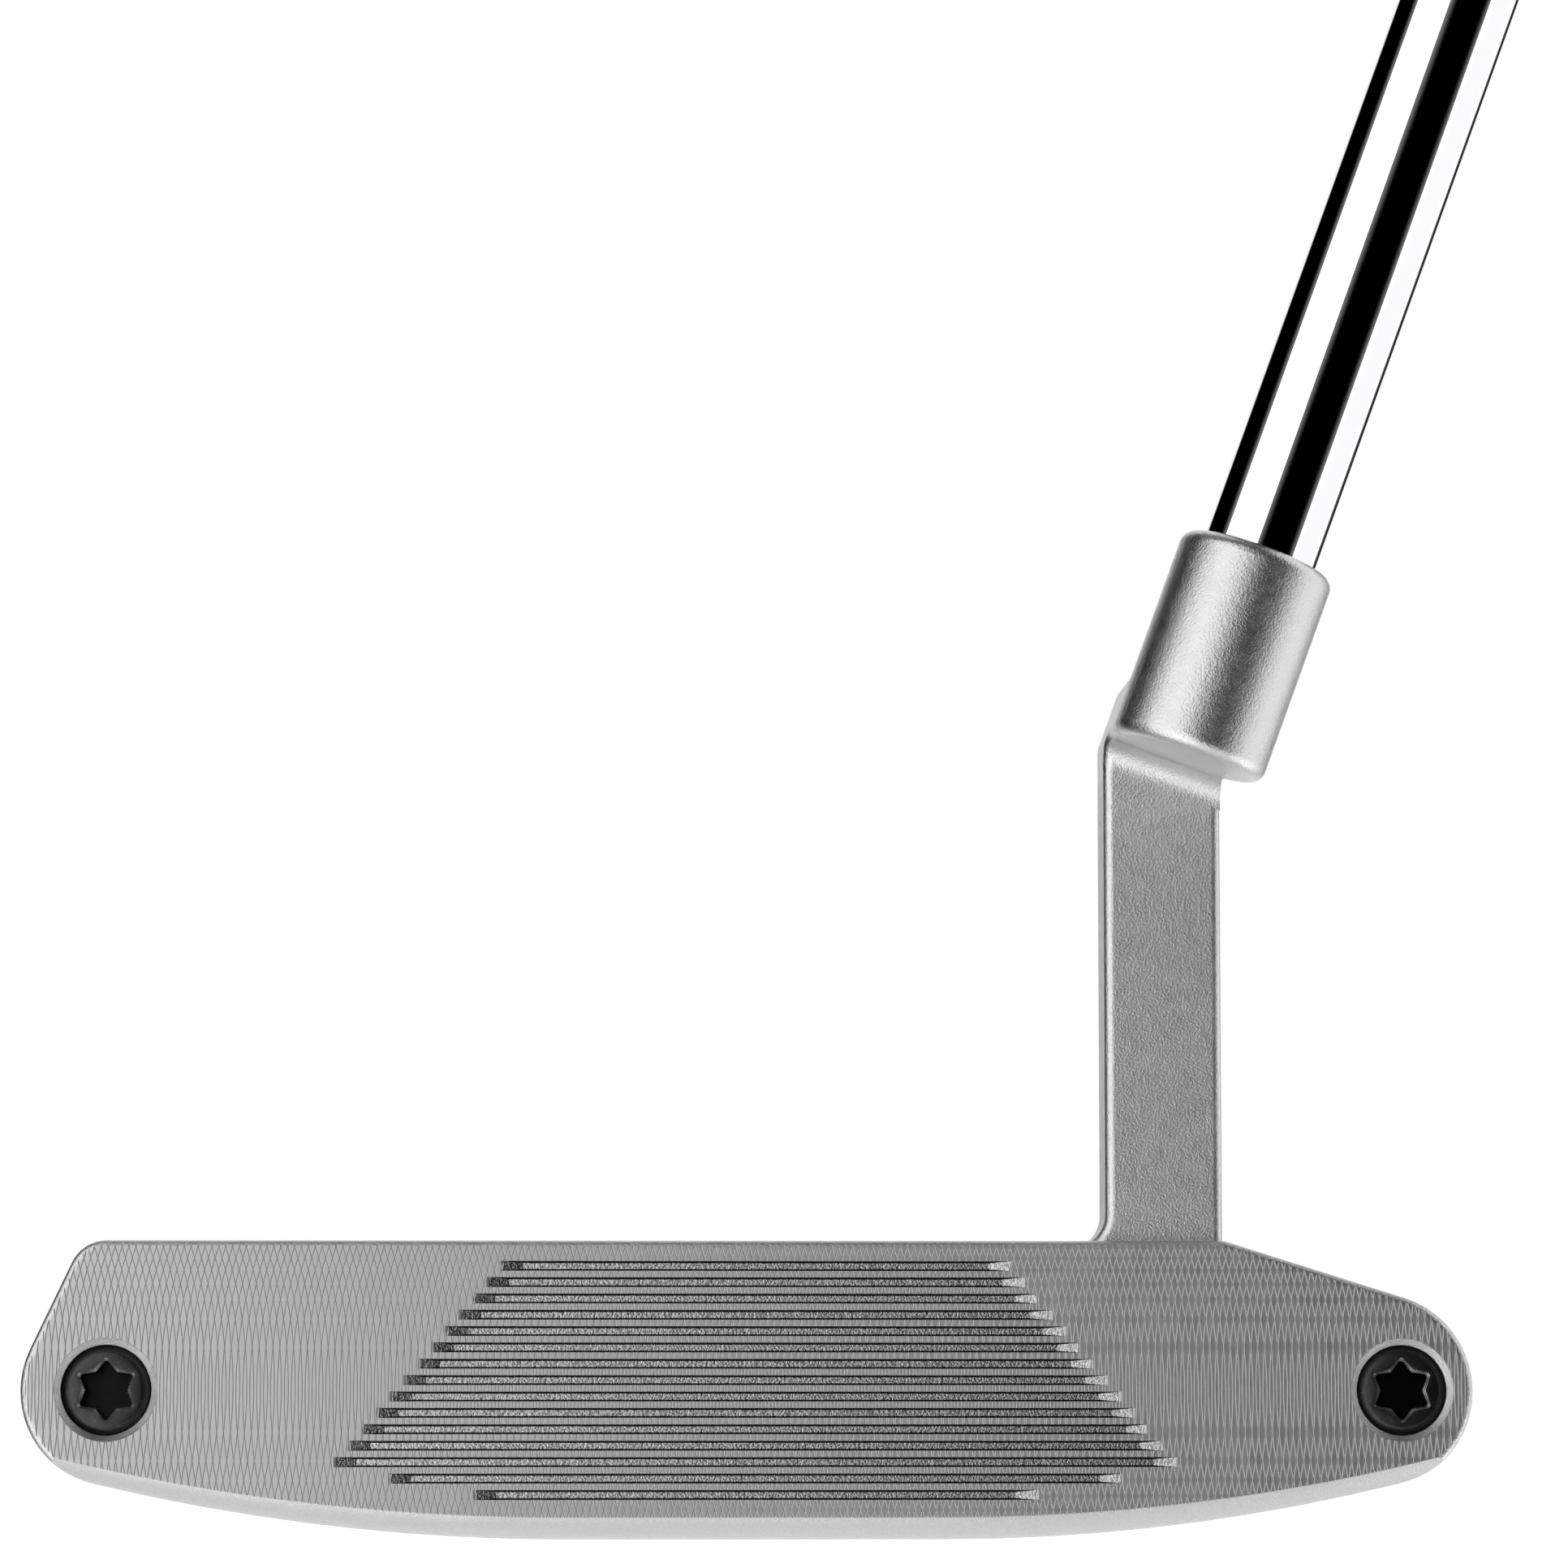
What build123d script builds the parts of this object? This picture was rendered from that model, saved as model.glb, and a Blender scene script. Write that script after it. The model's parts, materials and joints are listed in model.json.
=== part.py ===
from build123d import *
import os
from math import acos, atan2, cos, hypot, radians, sin, sqrt, tan

# Right-handed blade putter. The origin lies on the ground, in the middle of the sole's flat.
# -Y is towards the target (the way the face looks), +X towards the heel and the player, +Z up.

# Blade
blade_height = 24.0  # ground to topline
head_depth = 26.4  # face to rear edge
blade_thickness = 6.4  # topline, front to back
face_loft = 3.0
toe_reach = 59.0  # face centre to the toe's outermost point
heel_reach = 57.9  # face centre to the heel's outermost point
end_radius = 7.8  # round ends
end_height = 12.0  # height of their centres
toe_corner_x = 54.2  # topline's toe corner, before rounding
toe_corner_radius = 3.1
heel_corner_x = 37.95  # where the topline turns down to the heel
sole_flat = 30.6  # length of the sole's flat
rim_radius = 0.6  # rounding of the face's edge
lead_band = 2.1  # height of the leading edge's rounding
lead_radius = 3.0
rear_bow = 2.6  # how far the rear edge bows out
rear_corner = 10.0
rear_sole_round = 2.0

# Back of the blade
deck_front = 17.8  # height of the heel and toe masses behind the blade
deck_rear = 14.4
deck_round = 1.2
shelf_height = 12.2  # step on the inside of each mass
shelf_half = 29.0  # cavity's half length above the step
cavity_half = 23.0  # cavity's half length below the step
flange_front = 7.4  # height of the flange at the blade
flange_rear = 5.4
cavity_round = 2.5
sight_width = 1.8
sight_depth = 0.8
sight_recess = 0.15  # paint below the flange
sight_margin = 2.6  # from the line's ends to the flange's edges

# Face grooves
groove_count = 15
groove_margin = 2.04  # from the topline to the middle of the top groove
groove_low = 3.592  # height of the lowest groove
groove_width = 0.8
groove_floor = 0.46
groove_depth = 0.28
groove_ramp = 1.85  # length of the run-out at each end
groove_half_top = 20.62  # half length of the top groove
groove_half_step = 1.105  # how much longer each lower one is
groove_trim = (29.5, 22.7)  # half lengths of the two lowest grooves

# Weight screws
screw_x = 52.16
screw_height = 12.0
port_bore = 7.3
port_chamfer = 0.52
port_wall = 5.0  # metal left behind a port
screw_clearance = 0.05  # radial, running fit
screw_recess = 0.45  # below the face
screw_bevel = 0.62  # across
screw_bevel_depth = 0.5
screw_head = 3.2
screw_shank = 6.0
screw_nose = 1.0
washer_thickness = 0.6
washer_clearance = 0.1
port_spare = 1.2  # past the screw's nose
drive_tip = 2.5  # centre to the point of a drive lobe, before rounding
drive_root = 1.69
drive_tip_round = 0.3
drive_depth = 1.9
drive_bevel = 0.2

# Neck and hosel
lie = 70.0  # shaft to the ground
shaft_ground_x = 11.7  # where the shaft's axis meets the ground
shaft_tip = 9.4
neck_left = 28.4
neck_width = 9.5
neck_depth = 7.0
neck_setback = 1.2  # behind the face
neck_edge = 0.75
neck_base = 14.0  # lowest point of the neck inside the head
neck_sink = 0.4  # how deep the foot's flare runs into the topline
foot_toe_round = 2.6
foot_heel_round = 3.0
foot_spread = 6.0
elbow_height = 64.6
elbow_round = 2.5
hosel_wall = 1.6
hosel_start = 66.7  # along the shaft's axis from the ground
hosel_length = 17.6
hosel_edge = 1.1
hosel_floor = 1.8
bridge_height = 4.6  # block that joins the hosel to the neck
gusset = 2.2
glue_gap = 0.1
glue_floor = 0.3

# Shaft
club_length = 863.6  # along the axis, ground to the end of the cap
shaft_butt = 14.7
shaft_wall = 0.55
tip_straight = 200.0
step_count = 9
step_run = 0.8  # taper of each step
step_margin = 15.3  # from the last step to the grip

# Grip
grip_length = 267.0
cap_thickness = 4.0
cap_round = 1.8
cap_vent = 1.6
cap_stem = 6.0
cap_stem_clearance = 0.1
collar_length = 6.0
tape_thickness = 0.15
tape_inset = 12.0
skin_thickness = 1.2
grip_corner_gap = 0.6  # how much flat is left beside the rear corners
# distance from the mouth as a share of the length, then the rubber beside, in front of and behind
# the shaft, and the front corners' radius as a share of the half width
grip_stations = (
    (0.0, 2.45, 2.25, 2.45, 0.88),
    (0.24, 3.35, 2.85, 3.55, 0.65),
    (0.56, 4.65, 3.35, 5.55, 0.50),
    (0.80, 5.65, 3.75, 9.25, 0.46),
    (0.94, 5.95, 3.95, 10.45, 0.47),
    (1.0, 5.65, 3.75, 9.65, 0.49),
)


def touch_point(outside, centre, radius, side):
    """Where the line from a point outside touches a circle, on the left (1) or right (-1)."""
    across = outside[0] - centre[0]
    up = outside[1] - centre[1]
    angle = atan2(up, across) + side * acos(radius / hypot(across, up))
    return (centre[0] + radius * cos(angle), centre[1] + radius * sin(angle))


def camber_radius(run):
    """Radius of the arc that rises from the sole's flat and runs into a round end."""
    return (run**2 + end_height**2 - end_radius**2) / (2 * (end_height - end_radius))


def camber_end(side, run):
    """Where that arc meets the round end."""
    radius = camber_radius(run)
    share = radius / (radius - end_radius)
    return (
        side * (sole_flat / 2 + run * share),
        radius + (end_height - radius) * share,
    )


# Places that follow from the sizes
toe_centre = (end_radius - toe_reach, end_height)
heel_centre = (heel_reach - end_radius, end_height)
toe_run = -toe_centre[0] - sole_flat / 2
heel_run = heel_centre[0] - sole_flat / 2
toe_camber_end = camber_end(-1, toe_run)
heel_camber_end = camber_end(1, heel_run)
heel_corner = (heel_corner_x, blade_height)
toe_corner = (-toe_corner_x, blade_height)
heel_slope_end = touch_point(heel_corner, heel_centre, end_radius, -1)
toe_slope_end = touch_point(toe_corner, toe_centre, end_radius, 1)
face_y = -head_depth / 2
rear_y = head_depth / 2
face_normal = (0, -cos(radians(face_loft)), sin(radians(face_loft)))
face_plane = Plane(origin=(0, face_y, blade_height / 2), x_dir=(1, 0, 0), z_dir=face_normal)
face_foot = face_y - blade_height / 2 * tan(radians(face_loft))
face_top = face_y + blade_height / 2 * tan(radians(face_loft))
blade_back = face_top + blade_thickness
lead_run = sqrt(lead_radius**2 - (lead_radius - lead_band) ** 2)
past = 3.0  # how far cutters reach past what they cut
near = 0.01  # for picking points at a height or a distance
camber_sweep = 20  # degrees, from the sole's flat past either round end
hosel_diameter = shaft_tip + 2 * (glue_gap + hosel_wall)
bore_start = hosel_start + hosel_floor
shaft_start = bore_start + glue_floor
groove_top = blade_height - groove_margin
groove_pitch = (groove_top - groove_low) / (groove_count - 1)
groove_longer = [groove_half_top + row * groove_half_step for row in range(groove_count)]
groove_halves = groove_longer[: -len(groove_trim)] + list(groove_trim)
flange_slope = (flange_front - flange_rear) / (rear_y + past - blade_back)
flange_plane = Plane(
    origin=(0, blade_back, flange_front), x_dir=(0, 1, -flange_slope), z_dir=(0, flange_slope, 1)
)
sight_start = cavity_round + sight_margin
sight_end = rear_y - blade_back - sight_margin
sight_length = sight_end - sight_start
sight_middle = (sight_start + sight_end) / 2
port_planes = [
    Plane(
        origin=face_plane.from_local_coords((side * screw_x, screw_height - blade_height / 2, 0)),
        x_dir=(1, 0, 0),
        z_dir=face_normal,
    )
    for side in (-1, 1)
]
front_plane = Plane.XZ.offset(-face_y + past)

lean = radians(90 - lie)
shaft_y = face_y - shaft_tip / 2  # full-shaft offset
shaft_ground = (shaft_ground_x, shaft_y, 0)
shaft_direction = (sin(lean), 0, cos(lean))
shaft_plane = Plane(origin=shaft_ground, x_dir=(cos(lean), 0, -sin(lean)), z_dir=shaft_direction)
shaft_side = Plane(origin=shaft_ground, x_dir=(cos(lean), 0, -sin(lean)), z_dir=(0, -1, 0))
shaft_profile = Plane(origin=shaft_ground, x_dir=(0, 1, 0), z_dir=(cos(lean), 0, -sin(lean)))
shaft_axis = Axis(shaft_ground, shaft_direction)


def beside_shaft(across, along):
    """A point (x, z) beside the shaft's axis, seen from the front."""
    return (
        shaft_ground_x + across * cos(lean) + along * sin(lean),
        -across * sin(lean) + along * cos(lean),
    )


def across_shaft(x, z):
    """How far a point (x, z) is from the shaft's axis, seen from the front."""
    return (x - shaft_ground_x) * cos(lean) - z * sin(lean)


def port_side(port):
    """Plane through a port's axis, with y out of the face."""
    return Plane(origin=port.origin, x_dir=port.x_dir, z_dir=-port.y_dir)


def port_axis(port):
    """A port's axis, out of the face."""
    return Axis(port.origin, port.z_dir)


os.makedirs("parts", exist_ok=True)

# Leading edge: the cut follows the sole's flat and both cambers, and runs out over the round ends
with BuildSketch() as lead_profile:
    with BuildLine():
        lead_start = (face_foot + lead_run, 0)
        lead_outer = Polyline(
            lead_start,
            (face_foot + lead_run, -past),
            (face_foot - past, -past),
            (face_foot - past, lead_band),
            (face_foot, lead_band),
        )
        TangentArc(lead_start, lead_outer @ 1, tangent=(-1, 0))
    make_face()

with BuildPart() as leading_edge:
    with BuildSketch(Plane.YZ):
        add(lead_profile.sketch)
    extrude(amount=sole_flat / 2, both=True)
    for side, run in ((1, heel_run), (-1, toe_run)):
        with BuildSketch(Plane.YZ.offset(side * sole_flat / 2)):
            add(lead_profile.sketch)
        camber_axis = Axis((side * sole_flat / 2, 0, camber_radius(run)), (0, -side, 0))
        revolve(axis=camber_axis, revolution_arc=camber_sweep)

# Neck: upright post with a flared foot, then a block that leans with the shaft
neck_right = neck_left + neck_width
neck_front = face_top + neck_setback
neck_back = neck_front + neck_depth
slope_fall = (blade_height - heel_slope_end[1]) / (heel_slope_end[0] - heel_corner_x)
block_left = across_shaft(neck_left, elbow_height)
hosel_foot = beside_shaft(0, hosel_start)
block_right = across_shaft(neck_right, hosel_foot[1] - (neck_right - hosel_foot[0]) * tan(lean))
block_top = hosel_start + bridge_height
foot_level = blade_height - neck_sink

with BuildSketch(Plane.XZ) as neck_outline:
    with BuildLine():
        Polyline(
            (neck_left - foot_spread, neck_base),
            (neck_left - foot_spread, foot_level),
            (neck_left, foot_level),
            (neck_left, elbow_height),
            beside_shaft(block_left, block_top),
            beside_shaft(block_right, block_top),
            beside_shaft(block_right, hosel_start),
            (neck_right, foot_level),
            (neck_right + foot_spread, foot_level - foot_spread * slope_fall),
            (neck_right + foot_spread, neck_base),
            close=True,
        )
    make_face()
    foot_points = neck_outline.vertices().filter_by(lambda v: abs(v.Y - foot_level) < near)
    fillet(foot_points.sort_by(Axis.X)[1], foot_toe_round)
    fillet(foot_points.sort_by(Axis.X)[2], foot_heel_round)
    elbow = neck_outline.vertices().filter_by(lambda v: abs(v.Y - elbow_height) < near)
    fillet(elbow, elbow_round)

with BuildPart() as post:
    with BuildSketch(Plane.XZ.offset(-neck_front)):
        add(neck_outline.sketch)
    extrude(amount=-neck_depth)
    heel_edges = post.edges().filter_by(lambda e: abs(e.center().Y - neck_front) < near)
    heel_edges = heel_edges.filter_by(lambda e: e.center().X > neck_right - near)
    heel_edges = heel_edges.filter_by(lambda e: neck_base + near < e.center().Z < hosel_foot[1] - gusset)
    fillet(heel_edges, neck_edge)

# Block that reaches forward under the hosel, with a concave run down onto the post's front
front_reach = neck_front - shaft_y
with BuildPart() as bridge:
    with BuildSketch(shaft_profile) as bridge_profile:
        with BuildLine():
            Polyline(
                (front_reach, hosel_start - gusset),
                (front_reach + past, hosel_start - gusset),
                (front_reach + past, block_top),
                (0, block_top),
                (0, hosel_start),
                (front_reach - gusset, hosel_start),
            )
            RadiusArc(
                (front_reach - gusset, hosel_start), (front_reach, hosel_start - gusset), gusset
            )
        make_face()
    extrude(amount=hosel_diameter / 2 + past, both=True)
    with BuildSketch(Plane.XZ.offset(-shaft_y + past)):
        add(neck_outline.sketch)
    extrude(amount=-(front_reach + 3 * past), mode=Mode.INTERSECT)

# The toe side's rounding runs from the foot over the post and the block up to the hosel
with BuildPart() as neck:
    add(post.part)
    add(bridge.part)
    neck_edges = neck.edges().filter_by(Axis.Y, reverse=True)
    neck_edges = neck_edges.filter_by(lambda e: e.center().Z > neck_base + near)
    rear_edges = neck_edges.filter_by(lambda e: abs(e.center().Y - neck_back) < near)
    toe_edges = neck_edges.filter_by(lambda e: abs(e.center().Y - neck_front) < near)
    toe_edges = toe_edges.filter_by(lambda e: e.center().X < neck_left + near)
    fillet(rear_edges + toe_edges, neck_edge)

with BuildPart() as hosel:
    with BuildSketch(shaft_plane.offset(hosel_start)):
        Circle(hosel_diameter / 2)
    extrude(amount=hosel_length)
    fillet(hosel.edges().filter_by(GeomType.CIRCLE), hosel_edge)

# Cavity behind the blade, in two steps
with BuildPart() as shelf_pocket:
    with BuildSketch(Plane.YZ):
        with BuildLine():
            Polyline(
                (blade_back, shelf_height),
                (blade_back, blade_height + past),
                (rear_y + past, blade_height + past),
                (rear_y + past, shelf_height),
                close=True,
            )
        make_face()
    extrude(amount=shelf_half, both=True)
    lower = shelf_pocket.faces().sort_by(Axis.Z)[0].edges()
    uprights = shelf_pocket.edges().filter_by(Axis.Z).group_by(Axis.Y)[0]
    fillet(lower + uprights, cavity_round)

with BuildPart() as flange_pocket:
    with BuildSketch(Plane.YZ):
        with BuildLine():
            Polyline(
                (blade_back, flange_front),
                (blade_back, blade_height + past),
                (rear_y + past, blade_height + past),
                (rear_y + past, flange_rear),
                close=True,
            )
        make_face()
    extrude(amount=cavity_half, both=True)
    lower = flange_pocket.faces().sort_by(Axis.Z)[0].edges()
    uprights = flange_pocket.edges().filter_by(Axis.Z).group_by(Axis.Y)[0]
    fillet(lower + uprights, cavity_round)

# Weight port and screw, drawn as half profiles: across from the axis, and up out of the face
port_mouth = port_bore + 2 * port_chamfer
washer_level = -screw_recess - screw_head
port_floor = washer_level - washer_thickness
thread_hole = screw_shank / 2 + screw_clearance
port_point = rear_bow + port_wall - head_depth
port_end = port_point + thread_hole / 2
screw_end = port_end + port_spare
with BuildSketch() as port_profile:
    with BuildLine():
        Polyline(
            (0, past),
            (port_mouth / 2 + past, past),
            (port_bore / 2, -port_chamfer),
            (port_bore / 2, port_floor),
            (thread_hole, port_floor),
            (thread_hole, port_end),
            (0, port_point),
            close=True,
        )
    make_face()

# Head: blade, heel and toe masses, flange, neck and hosel in one piece
with BuildPart() as putter_head:
    with BuildSketch(front_plane) as outline:
        with BuildLine():
            sole = Line((-sole_flat / 2, 0), (sole_flat / 2, 0))
            TangentArc(sole @ 1, heel_camber_end, tangent=(1, 0))
            ThreePointArc(heel_camber_end, (heel_reach, end_height), heel_slope_end)
            Polyline(heel_slope_end, heel_corner, toe_corner, toe_slope_end)
            ThreePointArc(toe_slope_end, (-toe_reach, end_height), toe_camber_end)
            TangentArc(sole @ 0, toe_camber_end, tangent=(-1, 0))
        make_face()
        corners = outline.vertices().filter_by(lambda v: abs(v.Y - blade_height) < near)
        fillet(corners.sort_by(Axis.X)[0], toe_corner_radius)
    extrude(amount=-(head_depth + 2 * past))
    with BuildSketch(Plane.XY.offset(-past)) as plan:
        with BuildLine():
            plan_sides = Polyline(
                (-toe_reach - 1, rear_y - rear_bow),
                (-toe_reach - 1, face_y - past),
                (heel_reach + 1, face_y - past),
                (heel_reach + 1, rear_y - rear_bow),
            )
            ThreePointArc(plan_sides @ 1, (0, rear_y), plan_sides @ 0)
        make_face()
        fillet(plan.vertices().group_by(Axis.Y)[-1], rear_corner)
    extrude(amount=blade_height + 2 * past, mode=Mode.INTERSECT)
    add(leading_edge.part, mode=Mode.SUBTRACT)
    split(bisect_by=face_plane, keep=Keep.BOTTOM)
    face = putter_head.faces().filter_by(GeomType.PLANE).sort_by(Axis.Y)[0]
    fillet(face.edges().filter_by(lambda e: e.center().Z > end_height / 3), rim_radius)
    low_rear = putter_head.edges().filter_by(
        lambda e: e.center().Y > rear_y / 2 and e.center().Z < end_height / 4 and e.length > end_radius
    )
    fillet(low_rear, rear_sole_round)
    # tops of the heel and toe masses
    with BuildSketch(Plane.YZ):
        with BuildLine():
            Polyline(
                (blade_back, deck_front),
                (blade_back, blade_height + past),
                (rear_y + past, blade_height + past),
                (rear_y + past, deck_rear),
                close=True,
            )
        make_face()
    extrude(amount=toe_reach + past, both=True, mode=Mode.SUBTRACT)
    deck = putter_head.faces().filter_by(GeomType.PLANE).filter_by(
        lambda f: f.center().Y > 0 and f.center().Z > end_height
    )
    deck_edges = deck.sort_by(SortBy.AREA)[-1].edges().sort_by(Axis.Y)
    fillet(deck_edges[1:], deck_round)
    add(shelf_pocket.part, mode=Mode.SUBTRACT)
    add(flange_pocket.part, mode=Mode.SUBTRACT)
    add(neck.part)
    add(hosel.part)
    # bore for the shaft
    with BuildSketch(shaft_plane.offset(bore_start)):
        Circle(shaft_tip / 2 + glue_gap)
    extrude(amount=hosel_length, mode=Mode.SUBTRACT)
    # sight line's groove in the flange
    with BuildSketch(flange_plane):
        with Locations((sight_middle, 0)):
            SlotOverall(sight_length, sight_width)
    extrude(amount=-sight_depth, mode=Mode.SUBTRACT)
    # weight ports
    for port in port_planes:
        with BuildSketch(port_side(port)):
            add(port_profile.sketch)
        revolve(axis=port_axis(port), mode=Mode.SUBTRACT)
    # face grooves, each with a ramp at both ends
    for row, half in enumerate(groove_halves):
        middle = groove_top - blade_height / 2 - row * groove_pitch
        with BuildSketch(face_plane):
            with Locations((0, middle)):
                Rectangle(2 * half, groove_width)
        with BuildSketch(face_plane.offset(-groove_depth)):
            with Locations((0, middle)):
                Rectangle(2 * (half - groove_ramp), groove_floor)
        loft(mode=Mode.SUBTRACT)
putter_head.part.label = "putter_head"
export_step(putter_head.part, "parts/putter_head.step")

# Paint that fills the sight line, a little below the flange
with BuildPart() as sight_line_fill:
    with BuildSketch(flange_plane.offset(-sight_depth)):
        with Locations((sight_middle, 0)):
            SlotOverall(sight_length, sight_width)
    extrude(amount=sight_depth - sight_recess)
sight_line_fill.part.label = "sight_line_fill"
export_step(sight_line_fill.part, "parts/sight_line_fill.step")

# Weight screws with a six-lobe drive, each with a lock washer under its head
screw_radius = port_bore / 2 - screw_clearance
with BuildSketch() as screw_profile:
    with BuildLine():
        Polyline(
            (0, -screw_recess),
            (screw_radius - screw_bevel, -screw_recess),
            (screw_radius, -screw_recess - screw_bevel_depth),
            (screw_radius, washer_level),
            (screw_shank / 2, washer_level),
            (screw_shank / 2, screw_end + screw_nose),
            (screw_shank / 2 - screw_nose, screw_end),
            (0, screw_end),
            close=True,
        )
    make_face()

with BuildSketch() as washer_profile:
    with BuildLine():
        Polyline(
            (screw_shank / 2 + washer_clearance, washer_level),
            (port_bore / 2 - washer_clearance, washer_level),
            (port_bore / 2 - washer_clearance, port_floor),
            (screw_shank / 2 + washer_clearance, port_floor),
            close=True,
        )
    make_face()

drive_points = [
    (reach * sin(radians(turn)), reach * cos(radians(turn)))
    for turn, reach in zip(range(0, 360, 30), [drive_tip, drive_root] * 6)
]
with BuildSketch() as drive_profile:
    Polygon(*drive_points, align=None)
    points = drive_profile.vertices().filter_by(lambda v: hypot(v.X, v.Y) > drive_root + near)
    fillet(points, drive_tip_round)

for name, port in zip(("toe", "heel"), port_planes):
    with BuildPart() as weight_screw:
        with BuildSketch(port_side(port)):
            add(screw_profile.sketch)
        revolve(axis=port_axis(port))
        with BuildSketch(port.offset(-screw_recess)):
            add(drive_profile.sketch)
        extrude(amount=-drive_depth, mode=Mode.SUBTRACT)
        top = weight_screw.faces().filter_by(GeomType.PLANE).sort_by(port_axis(port))[-1]
        chamfer(top.inner_wires()[0].edges(), drive_bevel)
    weight_screw.part.label = name + "_weight_screw"
    export_step(weight_screw.part, "parts/" + name + "_weight_screw.step")

    with BuildPart() as lock_washer:
        with BuildSketch(port_side(port)):
            add(washer_profile.sketch)
        revolve(axis=port_axis(port))
    lock_washer.part.label = name + "_lock_washer"
    export_step(lock_washer.part, "parts/" + name + "_lock_washer.step")

# Glue between shaft and hosel, a thin sleeve with a floor
with BuildPart() as hosel_glue:
    with BuildSketch(shaft_plane.offset(bore_start)):
        Circle(shaft_tip / 2 + glue_gap)
    extrude(amount=hosel_start + hosel_length - bore_start)
    with BuildSketch(shaft_plane.offset(shaft_start)):
        Circle(shaft_tip / 2)
    extrude(amount=hosel_length, mode=Mode.SUBTRACT)
hosel_glue.part.label = "hosel_glue"
export_step(hosel_glue.part, "parts/hosel_glue.step")

# Stepped steel shaft, open at both ends
step_rise = (shaft_butt - shaft_tip) / 2 / step_count
shaft_end = club_length - cap_thickness
grip_start = club_length - grip_length
first_step = hosel_start + hosel_length + tip_straight
step_length = (grip_start - step_margin - first_step) / step_count
outer_line = [(shaft_tip / 2, shaft_start)]
for number in range(step_count):
    step_at = first_step + number * step_length
    outer_line.append((shaft_tip / 2 + number * step_rise, step_at))
    outer_line.append((shaft_tip / 2 + (number + 1) * step_rise, step_at + step_run))
outer_line.append((shaft_butt / 2, shaft_end))
inner_line = [(across - shaft_wall, along) for across, along in reversed(outer_line)]
with BuildPart() as shaft:
    with BuildSketch(shaft_side):
        with BuildLine():
            Polyline(*outer_line, *inner_line, close=True)
        make_face()
    revolve(axis=shaft_axis)
shaft.part.label = "shaft"
export_step(shaft.part, "parts/shaft.step")

# Double-sided tape under the grip
with BuildPart() as grip_tape:
    with BuildSketch(shaft_plane.offset(grip_start + tape_inset)):
        Circle(shaft_butt / 2 + tape_thickness)
        Circle(shaft_butt / 2, mode=Mode.SUBTRACT)
    extrude(amount=shaft_end - grip_start - tape_inset)
grip_tape.part.label = "grip_tape"
export_step(grip_tape.part, "parts/grip_tape.step")


# Grip: flat towards the thumbs, rounded and fuller below towards the butt
grip_body_length = grip_length - cap_thickness
grip_solids = []
for inset in (0, skin_thickness):
    with BuildPart() as grip_solid:
        for share, beside, front, back, corner in grip_stations:
            half = shaft_butt / 2 + beside
            with BuildSketch(shaft_plane.offset(grip_start + share * grip_body_length)) as section:
                with Locations(((back - front) / 2, 0)):
                    Rectangle(shaft_butt + front + back - 2 * inset, 2 * (half - inset))
                fillet(section.vertices().group_by(Axis.X)[0], corner * half - inset)
                fillet(section.vertices().group_by(Axis.X)[-1], half - grip_corner_gap - inset)
        loft()
    grip_solids.append(grip_solid.part)
grip_outside, grip_inside = grip_solids

with BuildPart() as grip_skin:
    add(grip_outside)
    add(grip_inside, mode=Mode.SUBTRACT)
    split(bisect_by=shaft_plane.offset(grip_start + collar_length), keep=Keep.TOP)
grip_skin.part.label = "grip_skin"
export_step(grip_skin.part, "parts/grip_skin.step")

with BuildPart() as grip_collar:
    add(grip_outside)
    add(grip_inside, mode=Mode.SUBTRACT)
    split(bisect_by=shaft_plane.offset(grip_start + collar_length), keep=Keep.BOTTOM)
grip_collar.part.label = "grip_collar"
export_step(grip_collar.part, "parts/grip_collar.step")

with BuildPart() as grip_core:
    add(grip_inside)
    with BuildSketch(shaft_plane.offset(grip_start)):
        Circle(shaft_butt / 2)
    extrude(amount=tape_inset, mode=Mode.SUBTRACT)
    with BuildSketch(shaft_plane.offset(grip_start + tape_inset)):
        Circle(shaft_butt / 2 + tape_thickness)
    extrude(amount=grip_body_length, mode=Mode.SUBTRACT)
grip_core.part.label = "grip_core"
export_step(grip_core.part, "parts/grip_core.step")

# Cap that closes the butt, with a stem in the shaft's end and a vent
with BuildPart() as grip_cap:
    share, beside, front, back, corner = grip_stations[-1]
    half = shaft_butt / 2 + beside
    with BuildSketch(shaft_plane.offset(shaft_end)) as section:
        with Locations(((back - front) / 2, 0)):
            Rectangle(shaft_butt + front + back, 2 * half)
        fillet(section.vertices().group_by(Axis.X)[0], corner * half)
        fillet(section.vertices().group_by(Axis.X)[-1], half - grip_corner_gap)
    extrude(amount=cap_thickness)
    fillet(grip_cap.faces().sort_by(shaft_axis)[-1].edges(), cap_round)
    with BuildSketch(shaft_plane.offset(shaft_end)):
        Circle(shaft_butt / 2 - shaft_wall - cap_stem_clearance)
    extrude(amount=-cap_stem)
    with BuildSketch(shaft_plane.offset(shaft_end - cap_stem)):
        Circle(cap_vent / 2)
    extrude(amount=cap_stem + cap_thickness, mode=Mode.SUBTRACT)
grip_cap.part.label = "grip_cap"
export_step(grip_cap.part, "parts/grip_cap.step")
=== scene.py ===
"""Looks of a blade putter: satin milled head, chromed stepped shaft and a pebbled pistol grip.

All lengths are in metres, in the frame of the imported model.
"""

import json
import logging
import math
from collections.abc import Callable, Sequence
from dataclasses import dataclass, field
from enum import Enum
from typing import Any

import bpy
import numpy as np
from mathutils import Matrix, Vector

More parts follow.
